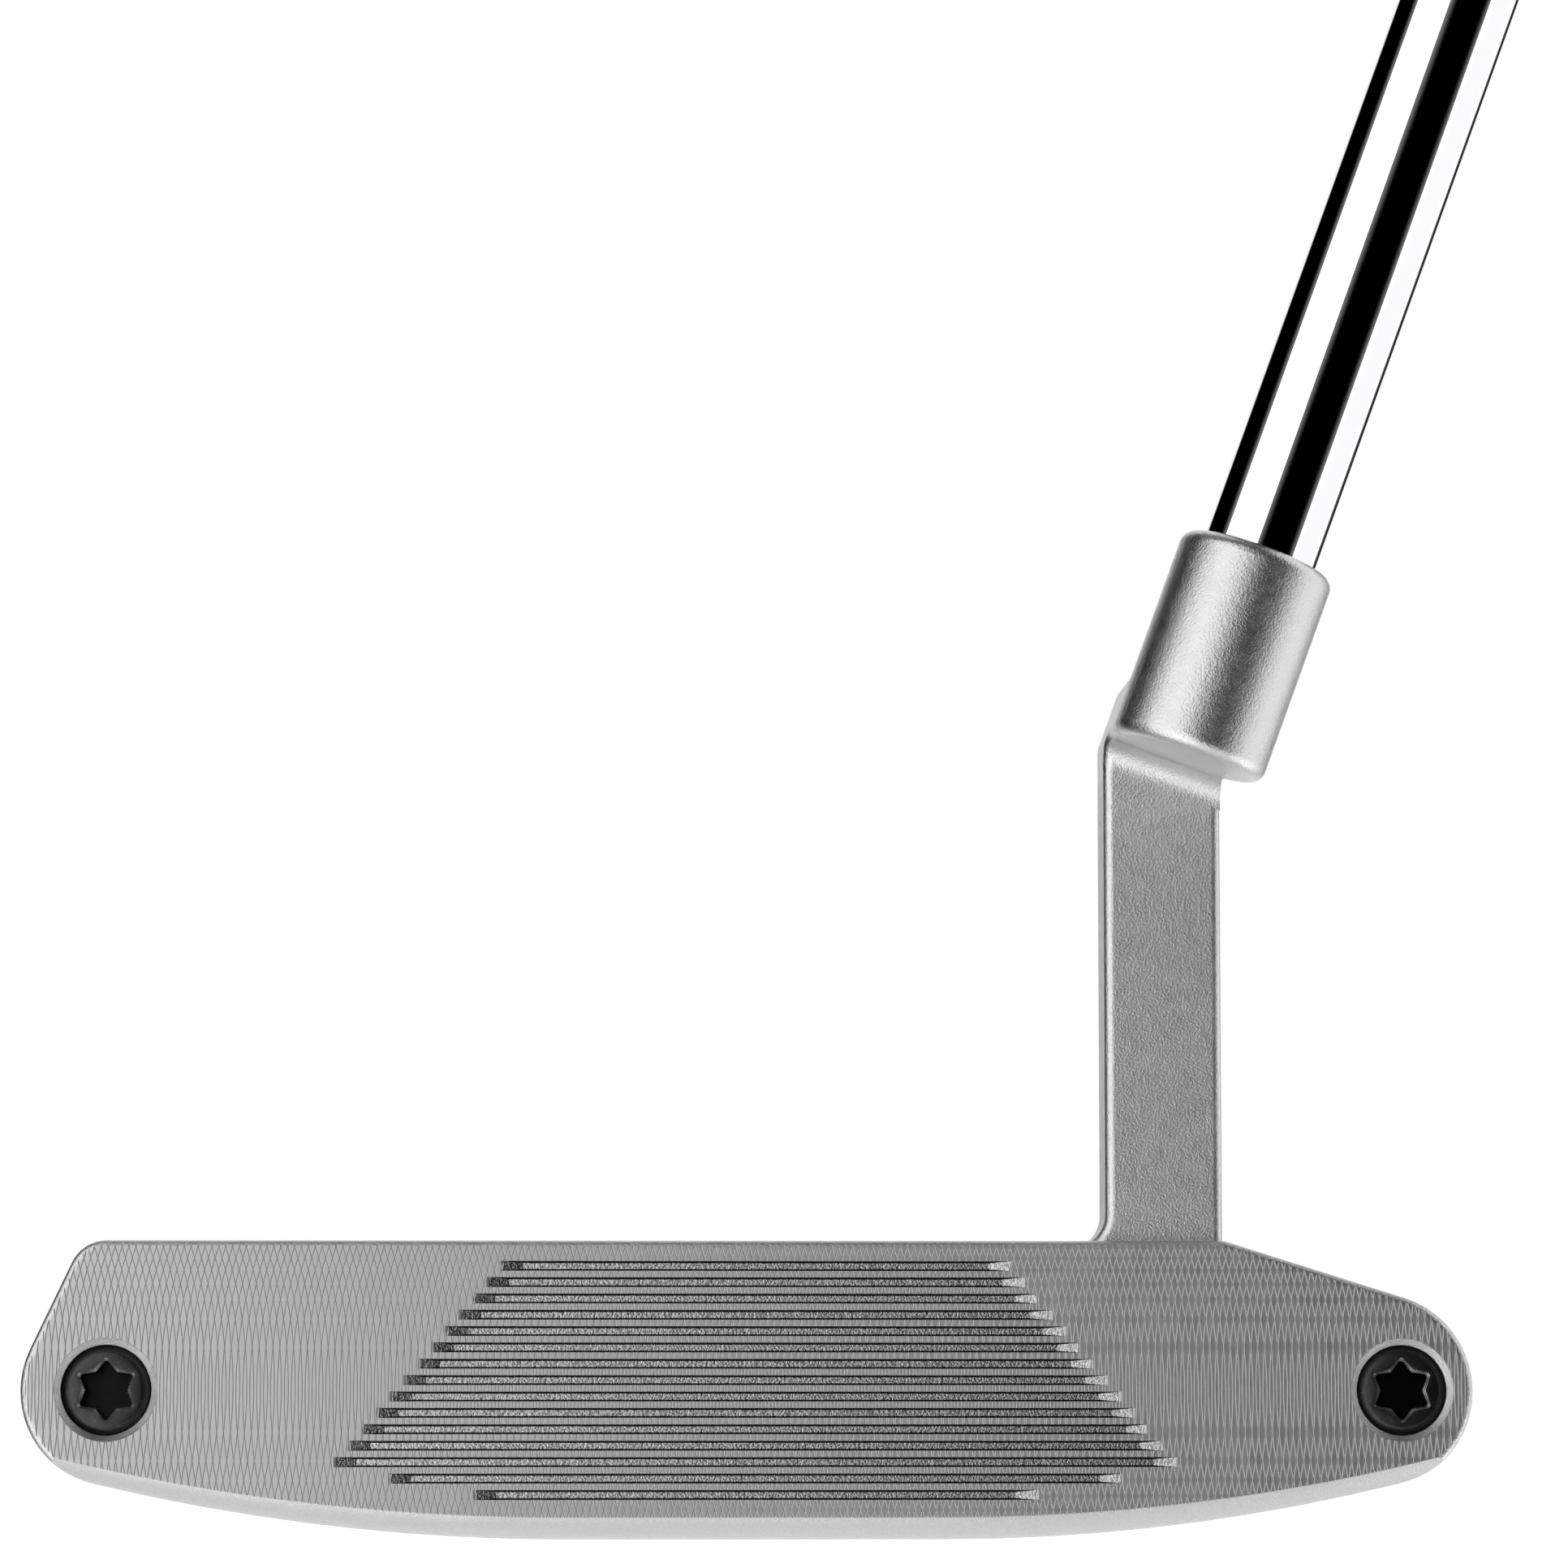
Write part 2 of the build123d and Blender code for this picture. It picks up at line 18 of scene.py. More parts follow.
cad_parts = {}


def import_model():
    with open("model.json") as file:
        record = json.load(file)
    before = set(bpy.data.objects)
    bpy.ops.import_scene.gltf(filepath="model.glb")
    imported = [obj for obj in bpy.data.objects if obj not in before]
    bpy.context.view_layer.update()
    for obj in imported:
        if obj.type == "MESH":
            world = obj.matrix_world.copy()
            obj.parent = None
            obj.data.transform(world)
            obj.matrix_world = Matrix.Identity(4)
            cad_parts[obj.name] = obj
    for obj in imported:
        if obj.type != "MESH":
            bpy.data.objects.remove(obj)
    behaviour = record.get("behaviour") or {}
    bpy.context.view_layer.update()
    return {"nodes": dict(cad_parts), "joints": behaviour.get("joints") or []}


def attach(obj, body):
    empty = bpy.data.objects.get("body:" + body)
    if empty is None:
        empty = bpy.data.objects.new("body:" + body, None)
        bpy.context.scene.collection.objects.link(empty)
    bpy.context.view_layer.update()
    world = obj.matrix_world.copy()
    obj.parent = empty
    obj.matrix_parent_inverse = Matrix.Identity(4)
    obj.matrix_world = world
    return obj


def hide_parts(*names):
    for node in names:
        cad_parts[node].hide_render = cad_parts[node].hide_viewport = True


frame: dict[str, Any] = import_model()

log: logging.Logger = logging.getLogger("putter")

MM: float = 0.001
POINT: float = 1e-6  # radius of a ring that closes an end
Socket = bpy.types.NodeSocket
Value = Socket | float
Ring = np.ndarray


class Op(Enum):
    """Kinds of arithmetic used in the materials and the light."""

    ADD = "ADD"
    SUBTRACT = "SUBTRACT"
    MULTIPLY = "MULTIPLY"
    DIVIDE = "DIVIDE"
    SQRT = "SQRT"
    FRACT = "FRACT"
    ABSOLUTE = "ABSOLUTE"
    LESS = "LESS_THAN"
    ANGLE = "ARCTAN2"
    ARCSINE = "ARCSINE"
    SINE = "SINE"
    MAXIMUM = "MAXIMUM"


class Port(Enum):
    """The two weight screws, by the side of the head they sit in."""

    TOE = "toe"
    HEEL = "heel"


@dataclass
class Graph:
    """A small writer of shader nodes.

    Args:
        tree: Node tree that the nodes are added to.
    """

    tree: bpy.types.NodeTree

    def node(self, kind: str, **facts: Any) -> bpy.types.Node:
        """Adds a node.

        Args:
            kind: Blender's name of the node type, without the leading ShaderNode.
            **facts: Properties set on the node.

        Returns:
            The new node.
        """
        made = self.tree.nodes.new("ShaderNode" + kind)
        for key, value in facts.items():
            setattr(made, key, value)
        return made

    def put(self, socket: Socket, value: Any) -> None:
        """Links a socket to another socket, or sets its own value.

        Args:
            socket: Input that is fed.
            value: Output socket, number or tuple of numbers.
        """
        if isinstance(value, bpy.types.NodeSocket):
            self.tree.links.new(value, socket)
        else:
            socket.default_value = value

    def math(self, op: Op, first: Value, second: Value = 0.0) -> Socket:
        """Works out one number from one or two others.

        Args:
            op: Kind of arithmetic.
            first: First number.
            second: Second number, where the kind needs one.

        Returns:
            The socket with the result.
        """
        made = self.node("Math", operation=op.value)
        self.put(made.inputs[0], first)
        self.put(made.inputs[1], second)
        return made.outputs[0]

    def plus(self, first: Value, second: Value) -> Socket:
        """Adds two numbers."""
        return self.math(Op.ADD, first, second)

    def minus(self, first: Value, second: Value) -> Socket:
        """Takes the second number from the first."""
        return self.math(Op.SUBTRACT, first, second)

    def times(self, first: Value, second: Value) -> Socket:
        """Multiplies two numbers."""
        return self.math(Op.MULTIPLY, first, second)

    def span(
        self, value: Value, low: float, high: float, start: float = 0.0, end: float = 1.0
    ) -> Socket:
        """Maps a number smoothly from one span to another, held at the ends.

        Args:
            value: Number that is mapped.
            low: Where the first span starts.
            high: Where it ends.
            start: Result at low.
            end: Result at high.

        Returns:
            The socket with the result.
        """
        made = self.node("MapRange", interpolation_type="SMOOTHSTEP")
        for socket, number in zip(made.inputs, (value, low, high, start, end)):
            self.put(socket, number)
        return made.outputs["Result"]

    def spread(self, noise: Socket, start: float, end: float) -> Socket:
        """Spreads noise over a span of numbers, without its rare ends."""
        return self.span(noise, 0.3, 0.7, start, end)

    def mix(self, share: Value, first: Any, second: Any) -> Socket:
        """Mixes two colours.

        Args:
            share: 0 for the first, 1 for the second.
            first: Socket or RGBA colour.
            second: Socket or RGBA colour.

        Returns:
            The socket with the mixed colour.
        """
        made = self.node("Mix", data_type="RGBA", clamp_factor=True)
        self.put(made.inputs["Factor"], share)
        self.put(made.inputs[6], first)
        self.put(made.inputs[7], second)
        return made.outputs[2]

    def greys(self, share: Value, first: float, second: float) -> Socket:
        """Mixes two neutral tones."""
        return self.mix(share, grey(first), grey(second))

    def noise(self, where: Socket, size: float, detail: float = 2.0, rough: float = 0.5) -> Socket:
        """Adds smooth noise.

        Args:
            where: Coordinates in metres.
            size: Rough size of its spots in metres.
            detail: How many finer layers it has.
            rough: How strong these are.

        Returns:
            The socket with a number round 0.5.
        """
        made = self.node("TexNoise")
        self.put(made.inputs["Vector"], where)
        self.put(made.inputs["Scale"], 1.0 / size)
        self.put(made.inputs["Detail"], detail)
        self.put(made.inputs["Roughness"], rough)
        return made.outputs["Fac"]

    def stretched(self, where: Socket, stretch: tuple[float, float, float]) -> Socket:
        """Scales coordinates, to draw noise out into grain.

        Args:
            where: Coordinates in metres.
            stretch: Factor along each axis.

        Returns:
            The socket with the scaled coordinates.
        """
        made = self.node("VectorMath", operation="MULTIPLY")
        self.put(made.inputs[0], where)
        made.inputs[1].default_value = stretch
        return made.outputs[0]

    def parts(self, where: Socket) -> tuple[Socket, Socket, Socket]:
        """Splits a vector into its three numbers.

        Args:
            where: The vector.

        Returns:
            The sockets of its X, Y and Z.
        """
        made = self.node("SeparateXYZ")
        self.put(made.inputs[0], where)
        return made.outputs[0], made.outputs[1], made.outputs[2]

    def bump(self, height: Socket, depth: float, under: Socket | None = None) -> Socket:
        """Adds relief.

        Args:
            height: Number from 0 to 1.
            depth: What 1 stands for, in metres.
            under: Normal that the relief is laid on.

        Returns:
            The socket with the new normal.
        """
        made = self.node("Bump")
        self.put(made.inputs["Strength"], 1.0)
        self.put(made.inputs["Distance"], depth)
        self.put(made.inputs["Height"], height)
        if under is not None:
            self.put(made.inputs["Normal"], under)
        return made.outputs["Normal"]


def emptied(owner: bpy.types.Material | bpy.types.World) -> Graph:
    """Empties the node tree of a material or a world.

    Args:
        owner: What the tree belongs to.

    Returns:
        The writer of its nodes.
    """
    owner.use_nodes = True
    owner.node_tree.nodes.clear()
    return Graph(owner.node_tree)


def new_surface(name: str) -> tuple[bpy.types.Material, Graph, bpy.types.Node, Socket]:
    """Starts a material.

    Args:
        name: Name of the material.

    Returns:
        The material, its graph, its surface shader and the piece's own coordinates.
    """
    material = bpy.data.materials.new(name)
    graph = emptied(material)
    shader = graph.node("BsdfPrincipled")
    output = graph.node("OutputMaterial")
    graph.put(output.inputs["Surface"], shader.outputs[0])
    return material, graph, shader, graph.node("TexCoord").outputs["Object"]


def grey(level: float) -> tuple[float, float, float, float]:
    """A neutral colour."""
    return (level, level, level, 1.0)


@dataclass(frozen=True)
class MilledSteel:
    """Satin steel, blasted all over, with fly-cutter arcs on the striking face.

    Args:
        face_point: A point on the face.
        face_normal: Direction out of the face.
        face_top: Height that the milled face ends below.
        arc_radius: Radius of the cutter's path.
        arc_height: Height of its centre.
        feed: Step from one arc to the next.
        line_share: Width of a mark as a share of the step.
        line_depth: Depth of a mark.
        mark_shade_tone: Painted shade in the middle of a mark.
        grain: Size of the blasted grain.
        grain_depth: Depth of the grain.
        grain_tone: Tone of the grain's dark side.
        blasted_tones: Span of tones of the blasted steel.
        milled_tones: Span of tones of the face.
        roughness: Span of roughness of the blasted steel.
        milled_roughness: How much rougher the face is.
        neck_roughness: How much rougher the blasting is below the hosel.
        elbow_heights: Heights between which that ends.
        groove_heights: Heights between which the grooves lie.
        groove_reach: How far they reach to either side.
        groove_facing: Limit of the normal's Y on their floors.
        groove_tones: Span of tones on their floors.
        groove_polish: How much smoother they are.
        wall_slopes: Span of the normal's Z over which a surface becomes a wall.
        wall_shade_tone: Painted shade on the grooves' steep walls.
    """

    face_point: tuple[float, float, float] = (0.0, -0.0132, 0.012)
    face_normal: tuple[float, float, float] = (0.0, -0.99863, 0.052336)
    face_top: float = 0.0245
    arc_radius: float = 0.037
    arc_height: float = 0.012
    feed: float = 0.000554
    line_share: float = 0.11
    line_depth: float = 3.4e-5
    mark_shade_tone: float = 0.25
    grain: float = 0.00019
    grain_depth: float = 5.0e-5
    grain_tone: float = 0.60
    blasted_tones: tuple[float, float] = (0.67, 0.73)
    milled_tones: tuple[float, float] = (0.54, 0.59)
    roughness: tuple[float, float] = (0.29, 0.35)
    milled_roughness: float = 0.085
    neck_roughness: float = 0.07
    elbow_heights: tuple[float, float] = (0.058, 0.064)
    groove_heights: tuple[float, float] = (0.0031, 0.0225)
    groove_reach: float = 0.0365
    groove_facing: float = -0.3
    groove_tones: tuple[float, float] = (0.62, 0.30)
    groove_polish: float = 0.15
    wall_slopes: tuple[float, float] = (0.5, 0.7)
    wall_shade_tone: float = 0.03

    def marks(self, graph: Graph, across: Socket, reach: Socket, side: Op) -> Socket:
        """Draws one family of arcs.

        Args:
            graph: Graph of the material.
            across: Place along the face.
            reach: How far the arc has run sideways at this height.
            side: Whether the arcs bow to the toe or to the heel.

        Returns:
            0 in the middle of a mark, 1 away from it.
        """
        step = graph.math(Op.DIVIDE, graph.math(side, across, reach), self.feed)
        off = graph.math(Op.ABSOLUTE, graph.minus(graph.math(Op.FRACT, step), 0.5))
        return graph.span(off, 0.0, self.line_share)

    def on_face(self, graph: Graph, where: Socket, height: Socket) -> Socket:
        """Finds the striking face.

        Args:
            graph: Graph of the material.
            where: Coordinates of the surface.
            height: Height of the surface.

        Returns:
            1 on the face, 0 elsewhere.
        """
        dot = graph.node("VectorMath", operation="DOT_PRODUCT")
        graph.put(dot.inputs[0], where)
        dot.inputs[1].default_value = self.face_normal
        offset = sum(a * b for a, b in zip(self.face_point, self.face_normal))
        off = graph.math(Op.ABSOLUTE, graph.minus(dot.outputs["Value"], offset))
        flat = graph.span(off, 0.02 * MM, 0.05 * MM, 1.0, 0.0)
        return graph.times(flat, graph.math(Op.LESS, height, self.face_top))

    def in_grooves(self, graph: Graph, where: Socket) -> tuple[Socket, Socket]:
        """Finds the grooves' stretch of the face and their steep walls, which get painted shade.

        Args:
            graph: Graph of the material.
            where: Coordinates of the surface.

        Returns:
            1 on the stretch, 0 elsewhere, and 1 on the walls, 0 elsewhere.
        """
        across, _, height = graph.parts(where)
        _, ahead, upright = graph.parts(graph.node("NewGeometry").outputs["True Normal"])
        steep = graph.span(graph.math(Op.ABSOLUTE, upright), *self.wall_slopes)
        low, high = self.groove_heights
        above = graph.minus(1.0, graph.math(Op.LESS, height, low))
        inside = graph.times(above, graph.math(Op.LESS, height, high))
        beside = graph.math(Op.LESS, graph.math(Op.ABSOLUTE, across), self.groove_reach)
        facing = graph.math(Op.LESS, ahead, self.groove_facing)
        stretch = graph.times(graph.times(inside, beside), facing)
        return stretch, graph.times(stretch, steep)

    def below_elbow(self, graph: Graph, height: Socket) -> Socket:
        """Gives the extra roughness of everything below the hosel."""
        return graph.span(height, *self.elbow_heights, self.neck_roughness, 0.0)

    def relief(
        self, graph: Graph, where: Socket, grain: Socket, marks: Socket, face: Socket
    ) -> Socket:
        """Lays the blasted grain and the cutter's marks on the steel.

        Args:
            graph: Graph of the material.
            where: Coordinates of the surface.
            grain: The blasted grain.
            marks: 0 in the middle of a mark, 1 away from it.
            face: 1 on the face, 0 elsewhere.

        Returns:
            The normal.
        """
        peel = graph.noise(where, 3.2 * self.grain, 1.0)
        texture = graph.times(graph.plus(grain, graph.times(peel, 0.3)), graph.minus(1.0, face))
        blast = graph.bump(texture, self.grain_depth)
        fine = graph.noise(graph.stretched(where, (1.0, 1.0, 3.0)), 0.4 * self.grain)
        cut = graph.times(graph.plus(marks, graph.times(fine, 0.12)), face)
        return graph.bump(cut, self.line_depth, blast)

    def material(self) -> bpy.types.Material:
        """Builds the material.

        Returns:
            The material.
        """
        material, graph, shader, where = new_surface("milled_steel")
        across, _, height = graph.parts(where)
        rise = graph.minus(height, self.arc_height)
        reach = graph.math(Op.SQRT, graph.minus(self.arc_radius**2, graph.times(rise, rise)))
        toe_marks = self.marks(graph, across, reach, Op.ADD)
        heel_marks = self.marks(graph, across, reach, Op.SUBTRACT)
        marks = graph.times(toe_marks, heel_marks)
        face = self.on_face(graph, where, height)
        off_face = graph.minus(1.0, face)
        stretch, wall_shade = self.in_grooves(graph, where)
        grooves = graph.times(stretch, off_face)

        grain = graph.noise(where, self.grain, 3.0, 0.6)
        cloud = graph.noise(where, 6 * MM, 3.0, 0.55)
        bright = graph.greys(cloud, *self.blasted_tones)
        tone = graph.mix(face, bright, graph.greys(cloud, *self.milled_tones))
        grained = graph.mix(graph.span(grain, 0.35, 0.65), tone, grey(self.grain_tone))
        blasted = graph.mix(graph.times(off_face, 0.55), tone, grained)
        # Painted shade: the cutter's marks on the face are darkened in the base colour.
        painted_mark_shade = graph.times(face, graph.span(marks, 0.0, 1.0, 0.8, 0.0))
        lined = graph.mix(painted_mark_shade, blasted, grey(self.mark_shade_tone))
        floors = graph.greys(graph.span(grain, 0.42, 0.58), *self.groove_tones)
        cut = graph.mix(graph.times(grooves, 0.8), lined, floors)
        # Painted shade: the grooves' steep walls are made near black where their shadow falls.
        graph.put(shader.inputs["Base Color"], graph.mix(wall_shade, cut, grey(self.wall_shade_tone)))
        shader.inputs["Metallic"].default_value = 1.0

        rough = graph.spread(graph.noise(where, 1.1 * MM, 4.0), *self.roughness)
        rough = graph.plus(rough, graph.times(face, self.milled_roughness))
        rough = graph.plus(rough, graph.times(off_face, self.below_elbow(graph, height)))
        rough = graph.minus(rough, graph.times(grooves, self.groove_polish))
        graph.put(shader.inputs["Roughness"], rough)
        graph.put(shader.inputs["Normal"], self.relief(graph, where, grain, marks, face))
        return material


@dataclass(frozen=True)
class Chrome:
    """Polished chrome plate with faint polishing lines and handling haze.

    Args:
        clean: Roughness where it is clean.
        hazy: Roughness where hands have dulled it.
        tone: Colour where it is clean.
        dulled: Colour where it is hazy.
        line_depth: Depth of the polishing lines.
    """

    clean: float = 0.035
    hazy: float = 0.075
    tone: tuple[float, float, float, float] = (0.93, 0.93, 0.93, 1.0)
    dulled: tuple[float, float, float, float] = (0.86, 0.87, 0.885, 1.0)
    line_depth: float = 1.5e-7

    def material(self) -> bpy.types.Material:
        """Builds the material.

        Returns:
            The material.
        """
        material, graph, shader, where = new_surface("shaft_chrome")
        haze = graph.noise(graph.stretched(where, (1.0, 1.0, 0.25)), 9 * MM, 4.0, 0.6)
        graph.put(shader.inputs["Base Color"], graph.mix(haze, self.tone, self.dulled))
        shader.inputs["Metallic"].default_value = 1.0
        graph.put(shader.inputs["Roughness"], graph.span(haze, 0.45, 0.75, self.clean, self.hazy))
        lines = graph.noise(graph.stretched(where, (6.0, 6.0, 1.0)), 1.2 * MM, 2.0)
        graph.put(shader.inputs["Normal"], graph.bump(lines, self.line_depth))
        return material


@dataclass(frozen=True)
class BlackCoat:
    """Thin black coating over turned steel. The piece's own Z is the axis it was turned about.

    Args:
        ring: Step between two turning marks.
        depth: Depth of a mark.
        drive_reach: Radius that the drive's recess lies within.
        rim_start: Depth at which the drive's bevel starts.
        drive_start: Depth from which the recess gets painted shade.
        tones: Tones of the coat, whole and worn.
        bevel_highlight_tone: Painted highlight on the drive's bevel.
        recess_shade_tone: Painted shade in the recess.
        roughness: Roughness of the coat, whole and worn.
    """

    ring: float = 0.00011
    depth: float = 2.6e-6
    drive_reach: float = 0.0026
    rim_start: float = 0.00047
    drive_start: float = 0.00074
    tones: tuple[float, float] = (0.05, 0.075)
    bevel_highlight_tone: float = 0.34
    recess_shade_tone: float = 0.004
    roughness: tuple[float, float] = (0.25, 0.30)

    def material(self) -> bpy.types.Material:
        """Builds the material.

        Returns:
            The material.
        """
        material, graph, shader, where = new_surface("screw_coat")
        across, along, rise = graph.parts(where)
        square = graph.plus(graph.times(across, across), graph.times(along, along))
        radius = graph.math(Op.SQRT, square)
        wobble = graph.times(graph.noise(where, 0.5 * MM), 0.25 * self.ring)
        turns = graph.math(Op.DIVIDE, graph.plus(radius, wobble), self.ring / math.tau)
        rings = graph.math(Op.SINE, turns)
        wear = graph.span(graph.noise(where, 0.7 * MM, 5.0, 0.65), 0.5, 0.72)
        worn = graph.greys(wear, *self.tones)
        inner = graph.math(Op.LESS, radius, self.drive_reach)
        pit = graph.times(inner, graph.math(Op.LESS, rise, -self.drive_start))
        rim = graph.times(inner, graph.math(Op.LESS, rise, -self.rim_start))
        # Painted highlight: the drive's bevel is made much lighter than the coat round it.
        bevel_highlighted = graph.mix(rim, worn, grey(self.bevel_highlight_tone))
        # Painted shade: the drive's recess below the bevel is made near black.
        graph.put(shader.inputs["Base Color"], graph.mix(pit, bevel_highlighted, grey(self.recess_shade_tone)))
        shader.inputs["Metallic"].default_value = 0.85
        shader.inputs["Anisotropic"].default_value = 0.75
        graph.put(shader.inputs["Roughness"], graph.span(wear, 0.0, 1.0, *self.roughness))
        tangent = graph.node("Tangent", direction_type="RADIAL", axis="Z")
        graph.put(shader.inputs["Tangent"], tangent.outputs[0])
        graph.put(shader.inputs["Normal"], graph.bump(rings, self.depth))
        return material


@dataclass(frozen=True)
class Enamel:
    """Black enamel run into the sight line.

    Args:
        ripple: Depth of its orange peel.
        tones: Span of its tones.
        roughness: Span of its roughness.
    """

    ripple: float = 2.5e-6
    tones: tuple[float, float] = (0.010, 0.022)
    roughness: tuple[float, float] = (0.12, 0.24)

    def material(self) -> bpy.types.Material:
        """Builds the material.

        Returns:
            The material.
        """
        material, graph, shader, where = new_surface("sight_enamel")
        cloud = graph.noise(where, 0.9 * MM, 3.0)
        graph.put(shader.inputs["Base Color"], graph.greys(cloud, *self.tones))
        graph.put(shader.inputs["Roughness"], graph.spread(cloud, *self.roughness))
        graph.put(shader.inputs["Normal"], graph.bump(graph.noise(where, 0.6 * MM), self.ripple))
        return material


@dataclass(frozen=True)
class Rubber:
    """Moulded rubber or polyurethane with a fine pebble.

    Args:
        name: Name of the material.
        dark: Darkest colour, of the unrubbed rubber and as painted shade in the pebble's hollows.
        light: Lightest colour, where it is rubbed.
        pebble: Size of the pebble.
        depth: Depth of the pebble.
        rough: Roughness in the middle of its range.
    """

    name: str
    dark: tuple[float, float, float, float] = (0.010, 0.010, 0.011, 1.0)
    light: tuple[float, float, float, float] = (0.028, 0.028, 0.030, 1.0)
    pebble: float = 0.00055
    depth: float = 2.2e-5
    rough: float = 0.55

    def material(self) -> bpy.types.Material:
        """Builds the material.

        Returns:
            The material.
        """
        material, graph, shader, where = new_surface(self.name)
        cells = graph.node("TexVoronoi", feature="SMOOTH_F1")
        graph.put(cells.inputs["Vector"], where)
        cells.inputs["Scale"].default_value = 1.0 / self.pebble
        cells.inputs["Smoothness"].default_value = 0.4
        pebble = cells.outputs["Distance"]
        rubbed = graph.noise(where, 14 * MM, 5.0, 0.6)
        tone = graph.mix(graph.span(rubbed, 0.35, 0.7), self.dark, self.light)
        # Painted shade: the pebble's hollows are darkened in the base colour.
        hollow_shade = graph.span(pebble, 0.45, 0.8, 0.0, 0.6)
        graph.put(shader.inputs["Base Color"], graph.mix(hollow_shade, tone, self.dark))
        low, high = self.rough - 0.08, self.rough + 0.10
        graph.put(shader.inputs["Roughness"], graph.spread(rubbed, high, low))
        shader.inputs["Sheen Weight"].default_value = 0.08
        relief = graph.bump(graph.minus(1.0, pebble), self.depth)
        graph.put(shader.inputs["Normal"], relief)
        return material


@dataclass(frozen=True)
class Epoxy:
    """Cured glue, slightly mottled.

    Args:
        dark: Its darkest colour.
        light: Its lightest tone.
        roughness: Span of its roughness.
    """

    dark: tuple[float, float, float, float] = (0.055, 0.053, 0.048, 1.0)
    light: float = 0.09
    roughness: tuple[float, float] = (0.3, 0.5)

    def material(self) -> bpy.types.Material:
        """Builds the material.

        Returns:
            The material.
        """
        material, graph, shader, where = new_surface("epoxy")
        cloud = graph.noise(where, 0.8 * MM, 4.0)
        graph.put(shader.inputs["Base Color"], graph.mix(cloud, self.dark, grey(self.light)))
        graph.put(shader.inputs["Roughness"], graph.spread(cloud, *self.roughness))
        graph.put(shader.inputs["Normal"], graph.bump(cloud, 1e-5))
        return material


@dataclass(frozen=True)
class PaperTape:
    """Creped masking tape.

    Args:
        crepe: Distance between its crinkles.
        dark: Its darkest colour.
        light: Its lightest colour.
        roughness: Span of its roughness.
    """

    crepe: float = 0.0007
    dark: tuple[float, float, float, float] = (0.62, 0.53, 0.34, 1.0)
    light: tuple[float, float, float, float] = (0.74, 0.66, 0.46, 1.0)
    roughness: tuple[float, float] = (0.75, 0.9)

    def material(self) -> bpy.types.Material:
        """Builds the material.

        Returns:
            The material.
        """
        material, graph, shader, where = new_surface("paper_tape")
        crinkle = graph.noise(graph.stretched(where, (0.3, 0.3, 1.0)), self.crepe, 3.0)
        graph.put(shader.inputs["Base Color"], graph.mix(crinkle, self.dark, self.light))
        graph.put(shader.inputs["Roughness"], graph.spread(crinkle, *self.roughness))
        graph.put(shader.inputs["Normal"], graph.bump(crinkle, 4e-5))
        return material


@dataclass(frozen=True)
class Thread:
    """Waxed sewing thread.

    Args:
        twist: Distance between two turns of the ply.
        tones: Span of its tones.
        roughness: Span of its roughness.
    """

    twist: float = 0.0004
    tones: tuple[float, float] = (0.16, 0.26)
    roughness: tuple[float, float] = (0.5, 0.7)

    def material(self) -> bpy.types.Material:
        """Builds the material.

        Returns:
            The material.
        """
        material, graph, shader, where = new_surface("seam_thread")
        ply = graph.node("TexWave", bands_direction="DIAGONAL")
        graph.put(ply.inputs["Vector"], where)
        ply.inputs["Scale"].default_value = 1.0 / (20 * self.twist)
        fibre = graph.noise(where, 0.1 * MM, 2.0)
        graph.put(shader.inputs["Base Color"], graph.greys(fibre, *self.tones))
        graph.put(shader.inputs["Roughness"], graph.spread(fibre, *self.roughness))
        shader.inputs["Sheen Weight"].default_value = 0.2
        graph.put(shader.inputs["Normal"], graph.bump(ply.outputs["Fac"], 2e-5))
        return material


def new_piece(
    name: str, points: np.ndarray, faces: Sequence[Sequence[int]], sharp: float
) -> bpy.types.Object:
    """Makes an object from points and faces.

    Args:
        name: Name of the piece.
        points: One row of three numbers for each point.
        faces: Point numbers of each face.
        sharp: Angle in degrees above which an edge stays crisp.

    Returns:
        The object, linked to the scene.
    """
    mesh = bpy.data.meshes.new(name)
    mesh.from_pydata(points.tolist(), [], faces)
    mesh.validate()
    mesh.polygons.foreach_set("use_smooth", [True] * len(mesh.polygons))
    mesh.set_sharp_from_angle(angle=math.radians(sharp))
    mesh.update()
    piece = bpy.data.objects.new(name, mesh)
    bpy.context.scene.collection.objects.link(piece)
    return piece


def skin_rings(
    rings: Sequence[Ring], closed: bool = False
) -> tuple[np.ndarray, list[tuple[int, ...]]]:
    """Joins rings of equally many points with quads.

    Args:
        rings: Rings of points, each in the same order.
        closed: Whether the last ring joins the first.

    Returns:
        The points and the faces.
    """
    count = len(rings[0])
    points = np.concatenate(rings)
    faces: list[tuple[int, ...]] = []
    last = len(rings) if closed else len(rings) - 1
    for row in range(last):
        low, high = row * count, (row + 1) % len(rings) * count
        for here in range(count):
            there = (here + 1) % count
            faces.append((low + here, low + there, high + there, high + here))
    return points, faces


def turned(radii: Callable[[np.ndarray], np.ndarray] | float, height: float, count: int) -> Ring:
    """Places a ring of points about Z.

    Args:
        radii: Radius, or a rule that gives it from the angle.
        height: Height of the ring.
        count: How many points.

    Returns:
        The ring.
    """
    angle = np.arange(count) / count * math.tau
    reach = radii(angle) if callable(radii) else np.full(count, radii)
    level = np.broadcast_to(height, count)
    return np.stack([reach * np.cos(angle), reach * np.sin(angle), level], axis=1)


@dataclass
class Head:
    """The milled head with its sight line, glue and washers.

    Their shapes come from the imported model.

    Args:
        steel: Finish of the head.
        washer: Finish of the washers under the screws.
    """

    steel: MilledSteel = field(default_factory=MilledSteel)
    washer: Rubber = field(default_factory=lambda: Rubber("washer_rubber", rough=0.6))

    def dress(self) -> None:
        """Gives each part its finish."""
        finishes = {
            "putter_head": self.steel.material(),
            "sight_line_fill": Enamel().material(),
            "hosel_glue": Epoxy().material(),
        }
        washer = self.washer.material()
        for side in Port:
            finishes[side.value + "_lock_washer"] = washer
        dress_parts(finishes)


